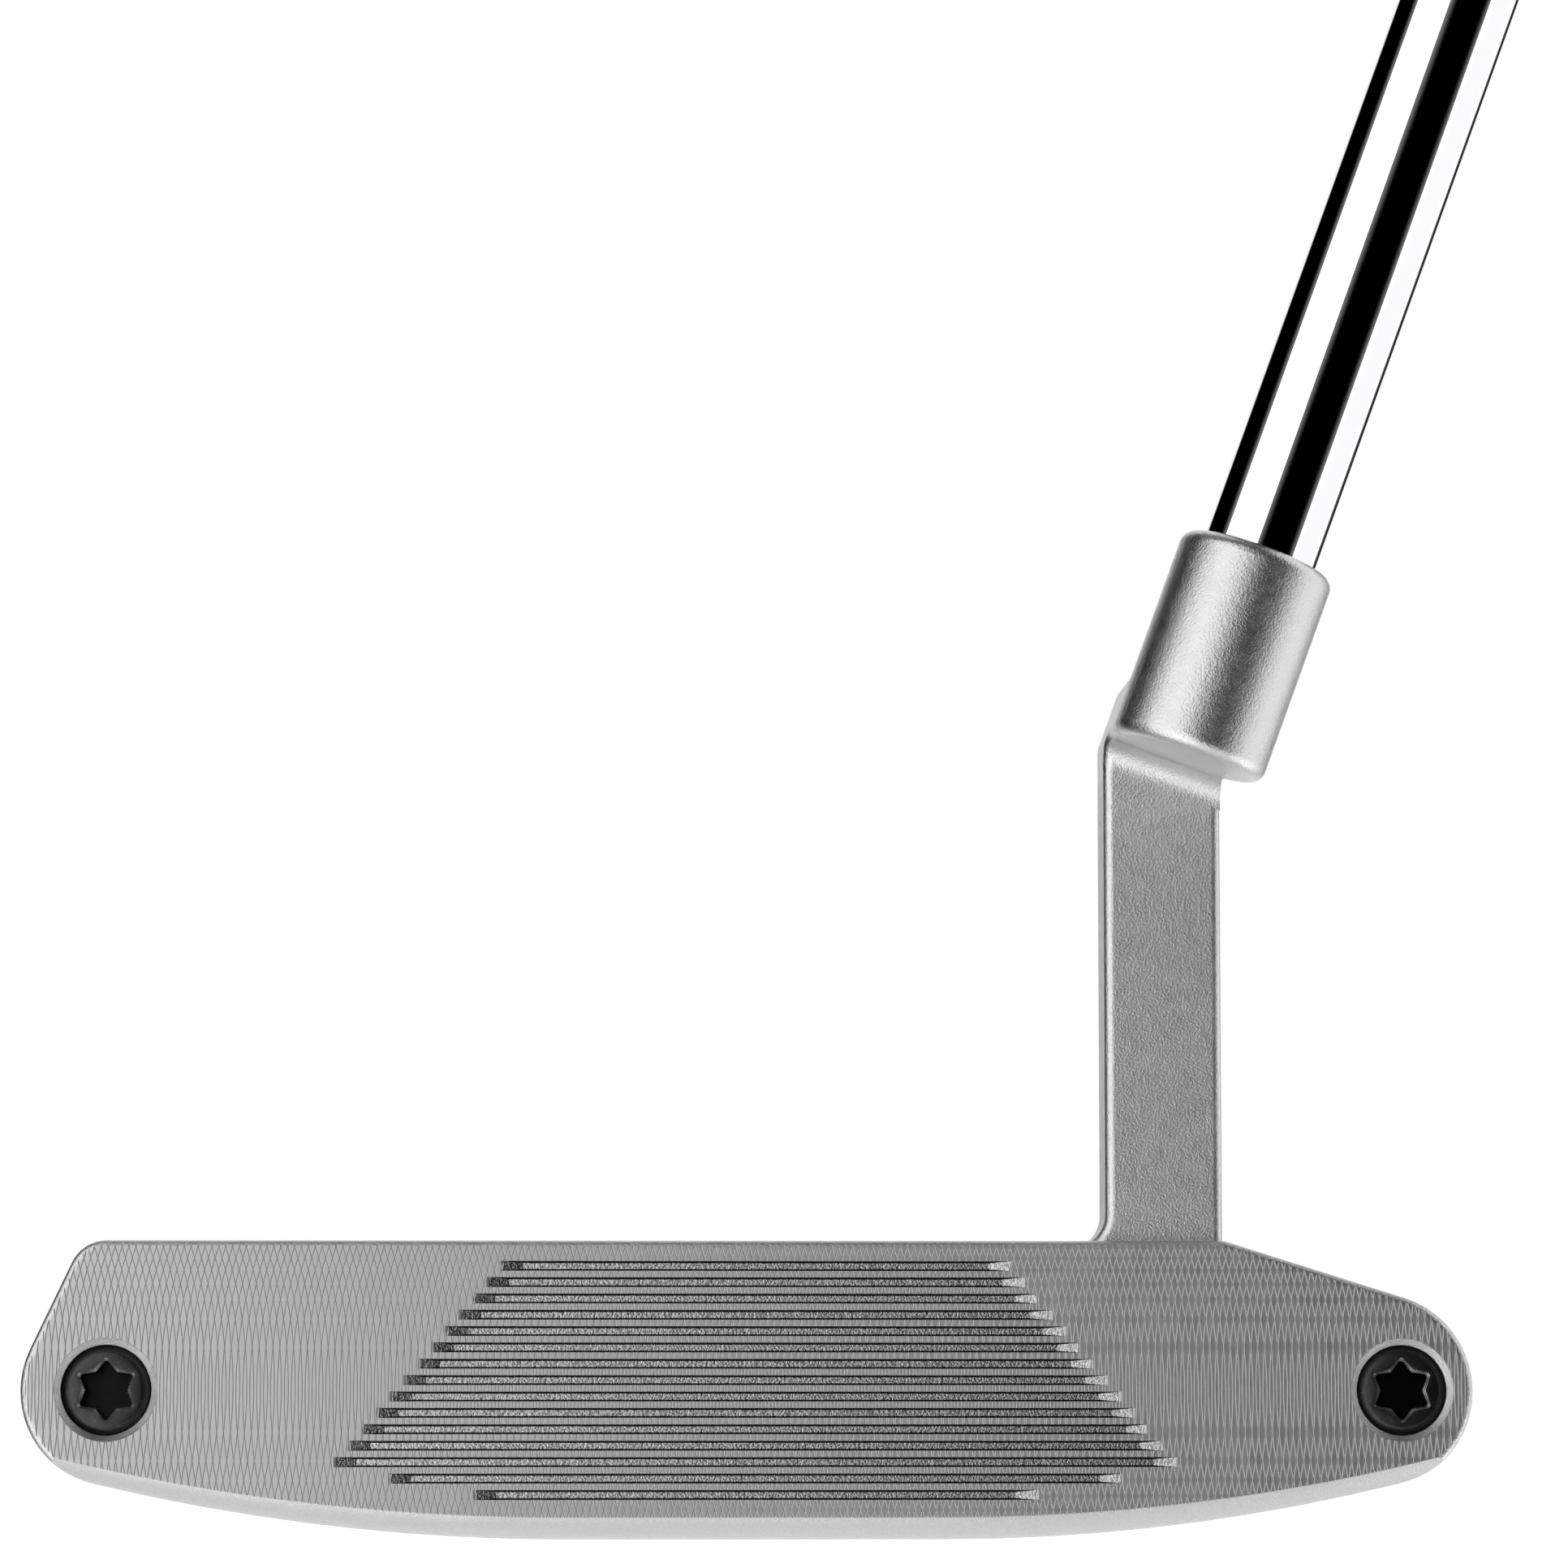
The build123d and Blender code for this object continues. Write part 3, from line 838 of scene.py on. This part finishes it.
@dataclass
class WeightScrew:
    """A screw-in weight: turned head with a six-lobe drive, and a fine thread.

    Heights are along the screw's axis, from the face down into the head.

    Args:
        side: Which port it sits in.
        recess: Depth of its top below the face.
        head_radius: Radius of the head.
        top_radius: Radius of the flat top, inside the bevel.
        bevel_depth: Height of the bevel.
        head_height: Height of the head.
        crest: Radius of the thread's crests.
        root: Radius of its roots.
        pitch: Rise of one turn.
        end: Depth of the screw's end.
        drive_tip: Radius of the drive's points.
        drive_root: Radius between them.
        drive_depth: Depth of the drive.
        drive_bevel: Width of the bevel round it.
        drive_crop: How much of each point is cut off.
        edges: Small steps that keep the drive's floor, the rims and the underside crisp.
        nose_drop: How far the first thread starts inside the root.
        nose_slope: How fast the nose widens.
        turn_rings: Rings in one turn of the thread.
        around: Points in a ring.
    """

    side: Port
    recess: float = 0.00045
    head_radius: float = 0.0036
    top_radius: float = 0.00298
    bevel_depth: float = 0.0005
    head_height: float = 0.0032
    crest: float = 0.00299
    root: float = 0.00242
    pitch: float = 0.001
    end: float = 0.016075
    drive_tip: float = 0.00237
    drive_root: float = 0.00169
    drive_depth: float = 0.0019
    drive_bevel: float = 0.00027
    drive_crop: float = 0.00013
    edges: tuple[float, ...] = (0.00005, 0.00004, 0.00003, 0.00015)
    nose_drop: float = 0.0004
    nose_slope: float = 0.9
    turn_rings: int = 14
    around: int = 192

    def drive(self, grow: float) -> Callable[[np.ndarray], np.ndarray]:
        """Gives the drive's outline.

        Args:
            grow: How far the outline is pushed out.

        Returns:
            A rule from angle to radius.
        """

        def reach(angle: np.ndarray) -> np.ndarray:
            """Gives the radius at each angle.

            Args:
                angle: Angles in radians.

            Returns:
                The radii.
            """
            lobe = math.tau / 6
            off = np.abs((angle - math.pi / 2 + lobe / 2) % lobe - lobe / 2)
            half = lobe / 2
            tip, low = self.drive_tip + self.drive_crop, self.drive_root
            slope = tip * low * math.sin(half)
            flank = slope / (tip * np.sin(off) + low * np.sin(half - off))
            return np.minimum(flank, self.drive_tip) + grow

        return reach

    def threaded(self, height: float) -> Callable[[np.ndarray], np.ndarray]:
        """Gives the thread's outline at one height.

        Args:
            height: Height along the axis.

        Returns:
            A rule from angle to radius.
        """

        def reach(angle: np.ndarray) -> np.ndarray:
            """Gives the radius at each angle.

            Args:
                angle: Angles in radians.

            Returns:
                The radii.
            """
            phase = (height / self.pitch - angle / math.tau) % 1.0
            ramp = np.clip(2.6 * np.abs(phase - 0.5) * 2 - 0.8, 0.0, 1.0)
            full = self.crest - (self.crest - self.root) * ramp
            nose = self.nose_slope * max(0.0, self.end + height)
            return np.minimum(full, self.root - self.nose_drop + nose)

        return reach

    def rings(self) -> list[Ring]:
        """Stacks the screw's rings, from the drive's floor over the head to its end.

        Returns:
            The rings.
        """
        top, under = -self.recess, -self.recess - self.head_height
        floor, shoulder = top - self.drive_depth, top - self.bevel_depth
        floor_edge, inner, outer, under_edge = self.edges
        stack = [
            (POINT, floor),
            (self.drive(-floor_edge), floor),
            (self.drive(0.0), floor + floor_edge),
            (self.drive(0.0), top - self.drive_bevel),
            (self.drive(self.drive_bevel), top),
            (self.top_radius - inner, top),
            (self.top_radius + outer, top - outer),
            (self.head_radius - inner, shoulder + outer),
            (self.head_radius, shoulder - inner),
            (self.head_radius, under + under_edge),
            (self.head_radius - under_edge, under),
            (self.root, under),
        ]
        steps = int((self.end + under) / self.pitch * self.turn_rings)
        for step in range(1, steps + 1):
            height = under - (self.end + under) * step / steps
            stack.append((self.threaded(height), height))
        stack.append((POINT, -self.end))
        return [turned(radii, height, self.around) for radii, height in stack]

    def build(self, coat: bpy.types.Material) -> bpy.types.Object:
        """Builds the screw in its port.

        Args:
            coat: Finish of the screw.

        Returns:
            The piece.
        """
        name = self.side.value
        joint = next(j for j in frame["joints"] if j["name"] == name + "_screw_turn")
        points, faces = skin_rings(self.rings()[::-1])
        piece = new_piece(name + "_weight_screw_detail", points, faces, 28.0)
        out = Vector(joint["axis"]).normalized()
        across = Vector((1.0, 0.0, 0.0))
        up = out.cross(across)
        turn = Matrix((across, up, out)).transposed().to_4x4()
        piece.matrix_world = Matrix.Translation(Vector(joint["pos_m"])) @ turn
        give(piece, coat)
        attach(piece, name + "_screw")
        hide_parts(name + "_weight_screw")
        log.info("%s: %d faces", piece.name, len(faces))
        return piece


@dataclass
class ClubAxis:
    """The shaft's axis, with places on it given by their distance from the ground.

    Args:
        lie: Angle of the shaft to the ground in degrees.
        ground: Where the axis meets the ground.
    """

    lie: float = 70.0
    ground: Vector = field(default_factory=lambda: Vector((0.0117, -0.0179, 0.0)))

    def matrix(self) -> Matrix:
        """Turns and moves a piece drawn about Z onto the axis, with its X away from the thumbs."""
        lean = math.radians(90.0 - self.lie)
        return Matrix.Translation(self.ground) @ Matrix.Rotation(lean, 4, "Y")


@dataclass
class SteppedShaft:
    """The chromed steel tube, parallel at the tip and stepped towards the butt.

    Args:
        axis: Axis of the club.
        start: Distance of the tip's end from the ground.
        end: Distance of the butt's end.
        tip: Diameter at the tip.
        butt: Diameter at the butt.
        wall: Thickness of the tube.
        first_step: Distance of the first step.
        step_length: Distance between steps.
        steps: How many steps.
        run: Length of a step's taper.
        edge: Size of the broken edges at both ends.
        margin: Plain length kept beside a step.
        around: Points in a ring.
    """

    axis: ClubAxis
    start: float = 0.0688
    end: float = 0.8596
    tip: float = 0.0094
    butt: float = 0.0147
    wall: float = 0.00055
    first_step: float = 0.2843
    step_length: float = 0.033
    steps: int = 9
    run: float = 0.0008
    edge: float = 0.00012
    margin: float = 0.002
    around: int = 128

    def profile(self) -> list[tuple[float, float]]:
        """Gives radius and distance along the outside, with each step eased in and out.

        Returns:
            Pairs of radius and distance.
        """
        thin, thick = self.tip / 2, self.butt / 2
        rise = (thick - thin) / self.steps
        line = [(thin - self.edge, self.start), (thin, self.start + self.edge)]
        line.append((thin, self.first_step - self.margin))
        for number in range(self.steps):
            low = thin + number * rise
            at = self.first_step + number * self.step_length
            for share in np.linspace(0.0, 1.0, 9):
                eased = share * share * (3 - 2 * share)
                line.append((low + rise * eased, at + self.run * share))
            line.append((low + rise, at + self.step_length - self.margin))
        line[-1] = (thick, self.end - self.edge)
        line.append((thick - self.edge, self.end))
        return line

    def build(self, chrome: bpy.types.Material) -> bpy.types.Object:
        """Builds the tube.

        Args:
            chrome: Finish of the shaft.

        Returns:
            The piece.
        """
        outside = self.profile()
        inside = [(reach - self.wall, along) for reach, along in reversed(outside)]
        rings = [turned(reach, along, self.around) for reach, along in outside + inside]
        points, faces = skin_rings(rings, closed=True)
        piece = new_piece("shaft_tube", points, faces, 40.0)
        piece.matrix_world = self.axis.matrix()
        give(piece, chrome)
        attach(piece, "club")
        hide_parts("shaft")
        log.info("%s: %d faces", piece.name, len(faces))
        return piece


@dataclass
class PistolGrip:
    """The grip: flat for the thumbs, fuller below, dimpled, with a sewn seam down the back.

    Each station gives its place as a share of the length, the rubber beside, in front of and
    behind the shaft, and the front corners' radius as a share of the half width.

    Args:
        axis: Axis of the club.
        start: Distance of the grip's mouth from the ground.
        length: Length of the rubber, without the cap.
        shaft_radius: Radius of the shaft inside.
        collar: Length of the collar at the mouth.
        skin: Thickness of the skin.
        corner_gap: Flat left beside the rear corners.
        stations: Sections along the grip.
        rows: Rings along the skin.
        corner_steps: Points on a corner's arc.
        side_steps: Points on a straight side.
        dimple_pitch: Distance between dimples.
        dimple_radius: Radius of a dimple.
        dimple_depth: Depth of a dimple.
        row_share: Distance between rows of dimples as a share of their pitch.
        seam_clear: Distance from the seam to the dimples.
        plain: Length without dimples or stitches at each end.
        seam_depth: Depth of the seam's channel.
        seam_half: Half the channel's width.
        stitch_pitch: Distance between stitches.
        stitch_slant: How far a stitch leans to the side.
        stitch_dip: How far its ends dip in.
        thread_radius: Radius of the thread.
    """

    axis: ClubAxis
    start: float = 0.5966
    length: float = 0.263
    shaft_radius: float = 0.00735
    collar: float = 0.006
    skin: float = 0.0012
    corner_gap: float = 0.0006
    stations: tuple[tuple[float, ...], ...] = (
        (0.0, 0.00245, 0.00225, 0.00245, 0.88),
        (0.24, 0.00335, 0.00285, 0.00355, 0.65),
        (0.56, 0.00465, 0.00335, 0.00555, 0.50),
        (0.80, 0.00565, 0.00375, 0.00925, 0.46),
        (0.94, 0.00595, 0.00395, 0.01045, 0.47),
        (1.0, 0.00565, 0.00375, 0.00965, 0.49),
    )
    rows: int = 620
    corner_steps: int = 44
    side_steps: int = 20
    dimple_pitch: float = 0.0030
    dimple_radius: float = 0.00105
    dimple_depth: float = 0.00028
    row_share: float = 0.866
    seam_clear: float = 0.0035
    plain: float = 0.004
    seam_depth: float = 0.0004
    seam_half: float = 0.0007
    stitch_pitch: float = 0.0030
    stitch_slant: float = 0.00035
    stitch_dip: float = 0.00022
    thread_radius: float = 0.00028

    def section_sizes(self, share: float) -> np.ndarray:
        """Reads the stations at one place.

        Args:
            share: Place as a share of the length.

        Returns:
            The rubber beside, in front and behind, and the corner's share.
        """
        table = np.array(self.stations)
        places = table[:, 0]
        index = int(np.clip(np.searchsorted(places, share) - 1, 0, len(places) - 2))
        span = places[index + 1] - places[index]
        t = (share - places[index]) / span
        slopes = np.gradient(table[:, 1:], places, axis=0)
        a, b = table[index, 1:], table[index + 1, 1:]
        ta, tb = slopes[index] * span, slopes[index + 1] * span
        t2, t3 = t * t, t * t * t
        from_first = (2 * t3 - 3 * t2 + 1) * a + (t3 - 2 * t2 + t) * ta
        return from_first + (3 * t2 - 2 * t3) * b + (t3 - t2) * tb

    def section(self, share: float, inset: float) -> Ring:
        """Draws the outline at one place, as a ring in its own plane.

        Args:
            share: Place as a share of the length.
            inset: How far it is drawn in from the outside.

        Returns:
            The ring, starting in the middle of the back.
        """
        beside, front, behind, corner_share = self.section_sizes(share)
        half = self.shaft_radius + beside
        low = -(self.shaft_radius + front) + inset
        high = self.shaft_radius + behind - inset
        small = corner_share * half - inset
        large = half - self.corner_gap - inset
        half -= inset
        outline: list[tuple[float, float]] = []

        def arc(x: float, y: float, radius: float, first: float) -> None:
            """Adds a quarter of a circle.

            Args:
                x: Centre's X.
                y: Centre's Y.
                radius: Radius.
                first: Angle in degrees at which it starts.
            """
            for turn in np.linspace(first, first + 90.0, self.corner_steps, endpoint=False):
                angle = math.radians(turn)
                outline.append((x + radius * math.cos(angle), y + radius * math.sin(angle)))

        def side(start: tuple[float, float], end: tuple[float, float]) -> None:
            """Adds a straight side.

            Args:
                start: Where it starts.
                end: Where it ends.
            """
            for t in np.linspace(0.0, 1.0, self.side_steps, endpoint=False):
                x, y = (a + (b - a) * t for a, b in zip(start, end))
                outline.append((x, y))

        gap = half - large
        side((high, 0.0), (high, gap))
        arc(high - large, half - large, large, 0.0)
        side((high - large, half), (low + small, half))
        arc(low + small, half - small, small, 90.0)
        side((low, half - small), (low, -(half - small)))
        arc(low + small, -(half - small), small, 180.0)
        side((low + small, -half), (high - large, -half))
        arc(high - large, -(half - large), large, 270.0)
        side((high, -gap), (high, 0.0))
        ring = np.zeros((len(outline), 3))
        ring[:, :2] = outline
        ring[:, 2] = self.start + share * self.length
        return ring

    def relief(self, girth: np.ndarray, along: float) -> np.ndarray:
        """Gives how deep the dimples and the seam are on one ring.

        Args:
            girth: Distance round the ring from the middle of the back, both ways.
            along: Distance from the collar.

        Returns:
            The depth at each point.
        """
        pitch = self.dimple_pitch
        row_pitch = pitch * self.row_share
        row = round(along / row_pitch)
        off_row = along - row * row_pitch
        shifted = girth + (pitch / 2 if row % 2 else 0.0)
        off_column = shifted - np.round(shifted / pitch) * pitch
        distance = np.sqrt(off_row**2 + off_column**2) / self.dimple_radius
        dimple = self.dimple_depth * np.clip(1.0 - distance**2, 0.0, 1.0) ** 1.2
        clear = np.clip((np.abs(girth) - self.seam_clear) / MM, 0.0, 1.0)
        to_end = min(along, self.length - self.collar - along) - self.plain
        ends = np.clip(to_end / (2 * MM), 0.0, 1.0)
        seam = self.seam_depth * np.clip(1.0 - (girth / self.seam_half) ** 2, 0.0, 1.0)
        return dimple * clear * ends + seam

    def outer_ring(self, along: float) -> Ring:
        """Draws one ring of the skin's outside with its relief.

        Args:
            along: Distance from the collar.

        Returns:
            The ring.
        """
        ring = self.section((self.collar + along) / self.length, 0.0)
        steps = np.linalg.norm(np.roll(ring, -1, axis=0) - ring, axis=1)
        girth = np.concatenate([[0.0], np.cumsum(steps)[:-1]])
        girth = np.where(girth > steps.sum() / 2, girth - steps.sum(), girth)
        ahead = np.roll(ring, -1, axis=0) - np.roll(ring, 1, axis=0)
        outward = np.stack([ahead[:, 1], -ahead[:, 0], np.zeros(len(ring))], axis=1)
        outward /= np.linalg.norm(outward, axis=1)[:, None]
        return ring - outward * self.relief(girth, along)[:, None]

    def build_skin(self, rubber: bpy.types.Material) -> bpy.types.Object:
        """Builds the skin.

        Args:
            rubber: Finish of the skin.

        Returns:
            The piece.
        """
        reach = self.length - self.collar
        rings = [self.outer_ring(reach * row / (self.rows - 1)) for row in range(self.rows)]
        for share in np.linspace(1.0, self.collar / self.length, 40):
            rings.append(self.section(share, self.skin))
        points, faces = skin_rings(rings, closed=True)
        piece = new_piece("grip_pebbled_skin", points, faces, 60.0)
        piece.matrix_world = self.axis.matrix()
        give(piece, rubber)
        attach(piece, "club")
        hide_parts("grip_skin")
        log.info("%s: %d faces", piece.name, len(faces))
        return piece

    def stitch(self, along: float) -> list[Ring]:
        """Draws one stitch, a short slanted roll of thread.

        Args:
            along: Distance of its middle from the grip's mouth.

        Returns:
            Its rings.
        """
        behind = self.section_sizes(along / self.length)[2]
        sunk = self.shaft_radius + behind - self.seam_depth * 0.62
        middle = Vector((sunk, 0.0, self.start + along))
        slant = Vector((0.0, self.stitch_slant, self.stitch_pitch * 0.40))
        rings = []
        for share in np.linspace(-1.0, 1.0, 9):
            radius = self.thread_radius * math.sqrt(max(0.0, 1.0 - share**6)) + 1e-7
            at = middle + slant * float(share)
            at.x -= self.stitch_dip * float(share) ** 4
            rings.append(turned(radius, 0.0, 10) + np.array(at))
        return rings

    def build_stitches(self, thread: bpy.types.Material) -> bpy.types.Object:
        """Builds the seam's stitches.

        Args:
            thread: Finish of the stitches.

        Returns:
            The piece.
        """
        clouds, faces = [], []
        offset = 0
        count = int((self.length - self.collar - 2 * self.plain) / self.stitch_pitch)
        for number in range(count):
            along = self.collar + self.plain + (number + 0.5) * self.stitch_pitch
            points, quads = skin_rings(self.stitch(along))
            clouds.append(points)
            faces += [tuple(index + offset for index in quad) for quad in quads]
            offset += len(points)
        piece = new_piece("grip_seam_stitches", np.concatenate(clouds), faces, 60.0)
        piece.matrix_world = self.axis.matrix()
        give(piece, thread)
        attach(piece, "club")
        log.info("%s: %d stitches", piece.name, count)
        return piece

    def dress_inside(self) -> None:
        """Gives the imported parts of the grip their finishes."""
        trim = Rubber("grip_trim", pebble=0.0003, depth=6e-6, rough=0.42).material()
        core = Rubber("core_foam", light=grey(0.05), pebble=0.0009, rough=0.8).material()
        tape = PaperTape().material()
        finishes = {"grip_collar": trim, "grip_cap": trim, "grip_core": core, "grip_tape": tape}
        dress_parts(finishes)


@dataclass(frozen=True)
class SoftBox:
    """An upright soft box, given by the places of its two sides on the floor plan.

    Args:
        name: Name of the light.
        first: Place (x, y) of one side.
        last: Place (x, y) of the other side.
        low: Height of the bottom.
        high: Height of the top.
        radiance: Brightness of its surface.
    """

    name: str
    first: tuple[float, float]
    last: tuple[float, float]
    low: float = -0.5
    high: float = 0.72
    radiance: float = 1.35

    def build(self) -> None:
        """Builds the light, facing the putter and hidden from the camera."""
        first, last = Vector((*self.first, 0.0)), Vector((*self.last, 0.0))
        across = last - first
        lamp = bpy.data.lights.new(self.name, "AREA")
        lamp.shape = "RECTANGLE"
        lamp.size, lamp.size_y = across.length, self.high - self.low
        lamp.energy = self.radiance * math.pi * lamp.size * lamp.size_y
        holder = bpy.data.objects.new(self.name, lamp)
        bpy.context.scene.collection.objects.link(holder)
        middle = (first + last) / 2
        middle.z = (self.low + self.high) / 2
        inward = Vector((-across.y, across.x, 0.0)).normalized()
        if inward.dot(-middle) < 0:
            inward = -inward
        holder.rotation_mode = "QUATERNION"
        holder.rotation_quaternion = inward.to_track_quat("-Z", "Y")
        holder.location = middle
        holder.visible_camera = False


@dataclass
class Studio:
    """Plain pale floor, soft boxes left and right, and the camera.

    Angles run round the upright axis from the camera's side, positive towards the heel.

    Args:
        boxes: The soft boxes.
        spills: Angles at which the spill beside each side of a box starts, peaks and ends.
        halo: Brightness of the spill.
        below_light: Brightness of the light from below.
        behind_light: Brightness of the backdrop behind.
        ceiling_light: Brightness of the ceiling.
        camera_place: Place of the camera.
        camera_turn: How far it is turned to the heel, in degrees.
        camera_tilt: How far it looks up, in degrees.
        lens: Focal length in millimetres.
        floor_half: Half the floor's side.
        floor_tone: Tone of the floor.
        floor_glow: Light that the floor gives off by itself.
    """

    boxes: tuple[SoftBox, ...] = (
        SoftBox("left_box", (-0.045, -0.52), (-0.74, -0.11)),
        SoftBox("right_box", (0.45, -0.225), (0.371, 0.297), radiance=1.08),
    )
    spills: tuple[tuple[float, float, float], ...] = (
        (-24.0, -10.0, 4.0),
        (-101.0, -85.0, -70.0),
        (49.0, 63.0, 78.0),
        (118.0, 134.0, 150.0),
    )
    halo: float = 0.16
    below_light: float = 0.80
    behind_light: float = 1.0
    ceiling_light: float = 0.4
    camera_place: tuple[float, float, float] = (-0.0147, -0.5332, 0.009)
    camera_turn: float = 1.866
    camera_tilt: float = 5.703
    lens: float = 147.9
    floor_half: float = 12.0
    floor_tone: float = 0.85
    floor_glow: float = 0.86

    def light(self) -> None:
        """Builds the boxes and the dim room round them, with a white backdrop for the camera."""
        for box in self.boxes:
            box.build()
        world = bpy.data.worlds.new("studio")
        bpy.context.scene.world = world
        graph = emptied(world)
        across, away, height = graph.parts(graph.node("TexCoord").outputs["Generated"])
        angle = graph.math(Op.ANGLE, across, graph.times(away, -1.0))
        rise = graph.math(Op.ARCSINE, height)
        rad = math.radians
        total: Socket = graph.span(rise, rad(-14), rad(-50), 0.0, self.below_light)
        turned_away = graph.math(Op.ABSOLUTE, angle)
        behind = graph.span(turned_away, rad(150), rad(160), 0.0, self.behind_light)
        total = graph.math(Op.MAXIMUM, total, behind)
        overhead = graph.span(rise, rad(40), rad(70), 0.0, self.ceiling_light)
        overhead = graph.times(overhead, graph.span(away, -0.1, 0.35))
        total = graph.math(Op.MAXIMUM, total, overhead)
        for low, edge, high in self.spills:
            rising = graph.span(angle, rad(low), rad(edge))
            falling = graph.span(angle, rad(edge), rad(high), 1.0, 0.0)
            spill = graph.times(rising, falling)
            total = graph.plus(total, graph.times(graph.times(spill, spill), self.halo))
        room = graph.node("Background")
        graph.put(room.inputs["Strength"], total)
        room.inputs["Color"].default_value = grey(1.0)
        backdrop = graph.node("Background")
        backdrop.inputs["Color"].default_value = grey(1.0)
        backdrop.inputs["Strength"].default_value = 1.0
        choose = graph.node("MixShader")
        graph.put(choose.inputs[0], graph.node("LightPath").outputs["Is Camera Ray"])
        graph.put(choose.inputs[1], room.outputs[0])
        graph.put(choose.inputs[2], backdrop.outputs[0])
        graph.put(graph.node("OutputWorld").inputs["Surface"], choose.outputs[0])

    def floor(self) -> None:
        """Lays the pale floor. It takes shadows, and the light from below passes it."""
        half = self.floor_half
        corners = np.array([(-1, -1, 0), (1, -1, 0), (1, 1, 0), (-1, 1, 0)]) * half
        plane = new_piece("studio_floor", corners, [(0, 1, 2, 3)], 30.0)
        material = bpy.data.materials.new("pale_floor")
        graph = emptied(material)
        matte = graph.node("BsdfDiffuse")
        matte.inputs["Color"].default_value = grey(self.floor_tone)
        glow = graph.node("Emission")
        glow.inputs["Strength"].default_value = self.floor_glow
        both = graph.node("AddShader")
        graph.put(both.inputs[0], matte.outputs[0])
        graph.put(both.inputs[1], glow.outputs[0])
        graph.put(graph.node("OutputMaterial").inputs["Surface"], both.outputs[0])
        give(plane, material)
        plane.visible_glossy = plane.visible_diffuse = plane.visible_shadow = False

    def camera(self) -> None:
        """Sets up the camera."""
        data = bpy.data.cameras.new("view")
        camera = bpy.data.objects.new("view", data)
        bpy.context.scene.collection.objects.link(camera)
        data.sensor_width = 36.0
        data.lens = self.lens
        data.clip_start, data.clip_end = 0.01, 50.0
        camera.location = self.camera_place
        tilt, turn = math.radians(90 + self.camera_tilt), math.radians(self.camera_turn)
        camera.rotation_euler = (tilt, 0.0, -turn)
        bpy.context.scene.camera = camera

    def build(self) -> None:
        """Builds the light, the floor and the camera."""
        bpy.context.scene.view_settings.view_transform = "Standard"
        self.light()
        self.floor()
        self.camera()
        log.info("studio: %d soft boxes", len(self.boxes))


def give(piece: bpy.types.Object, material: bpy.types.Material) -> None:
    """Gives a piece one material.

    Args:
        piece: Object that gets it.
        material: The material.
    """
    piece.data.materials.clear()
    piece.data.materials.append(material)


def dress_parts(finishes: dict[str, bpy.types.Material]) -> None:
    """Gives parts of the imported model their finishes.

    Args:
        finishes: Material of each node.
    """
    for node, material in finishes.items():
        give(frame["nodes"][node], material)
        log.info("%s: %s", node, material.name)


def main() -> None:
    """Builds and dresses the putter, piece by piece."""
    logging.basicConfig(level=logging.INFO, format="%(name)s %(message)s")
    Studio().build()
    Head().dress()
    coat = BlackCoat().material()
    for side in Port:
        WeightScrew(side).build(coat)
    axis = ClubAxis()
    SteppedShaft(axis).build(Chrome().material())
    grip = PistolGrip(axis)
    grip.build_skin(Rubber("grip_skin").material())
    grip.build_stitches(Thread().material())
    grip.dress_inside()
    bpy.context.view_layer.update()


if __name__ == "__main__":
    main()
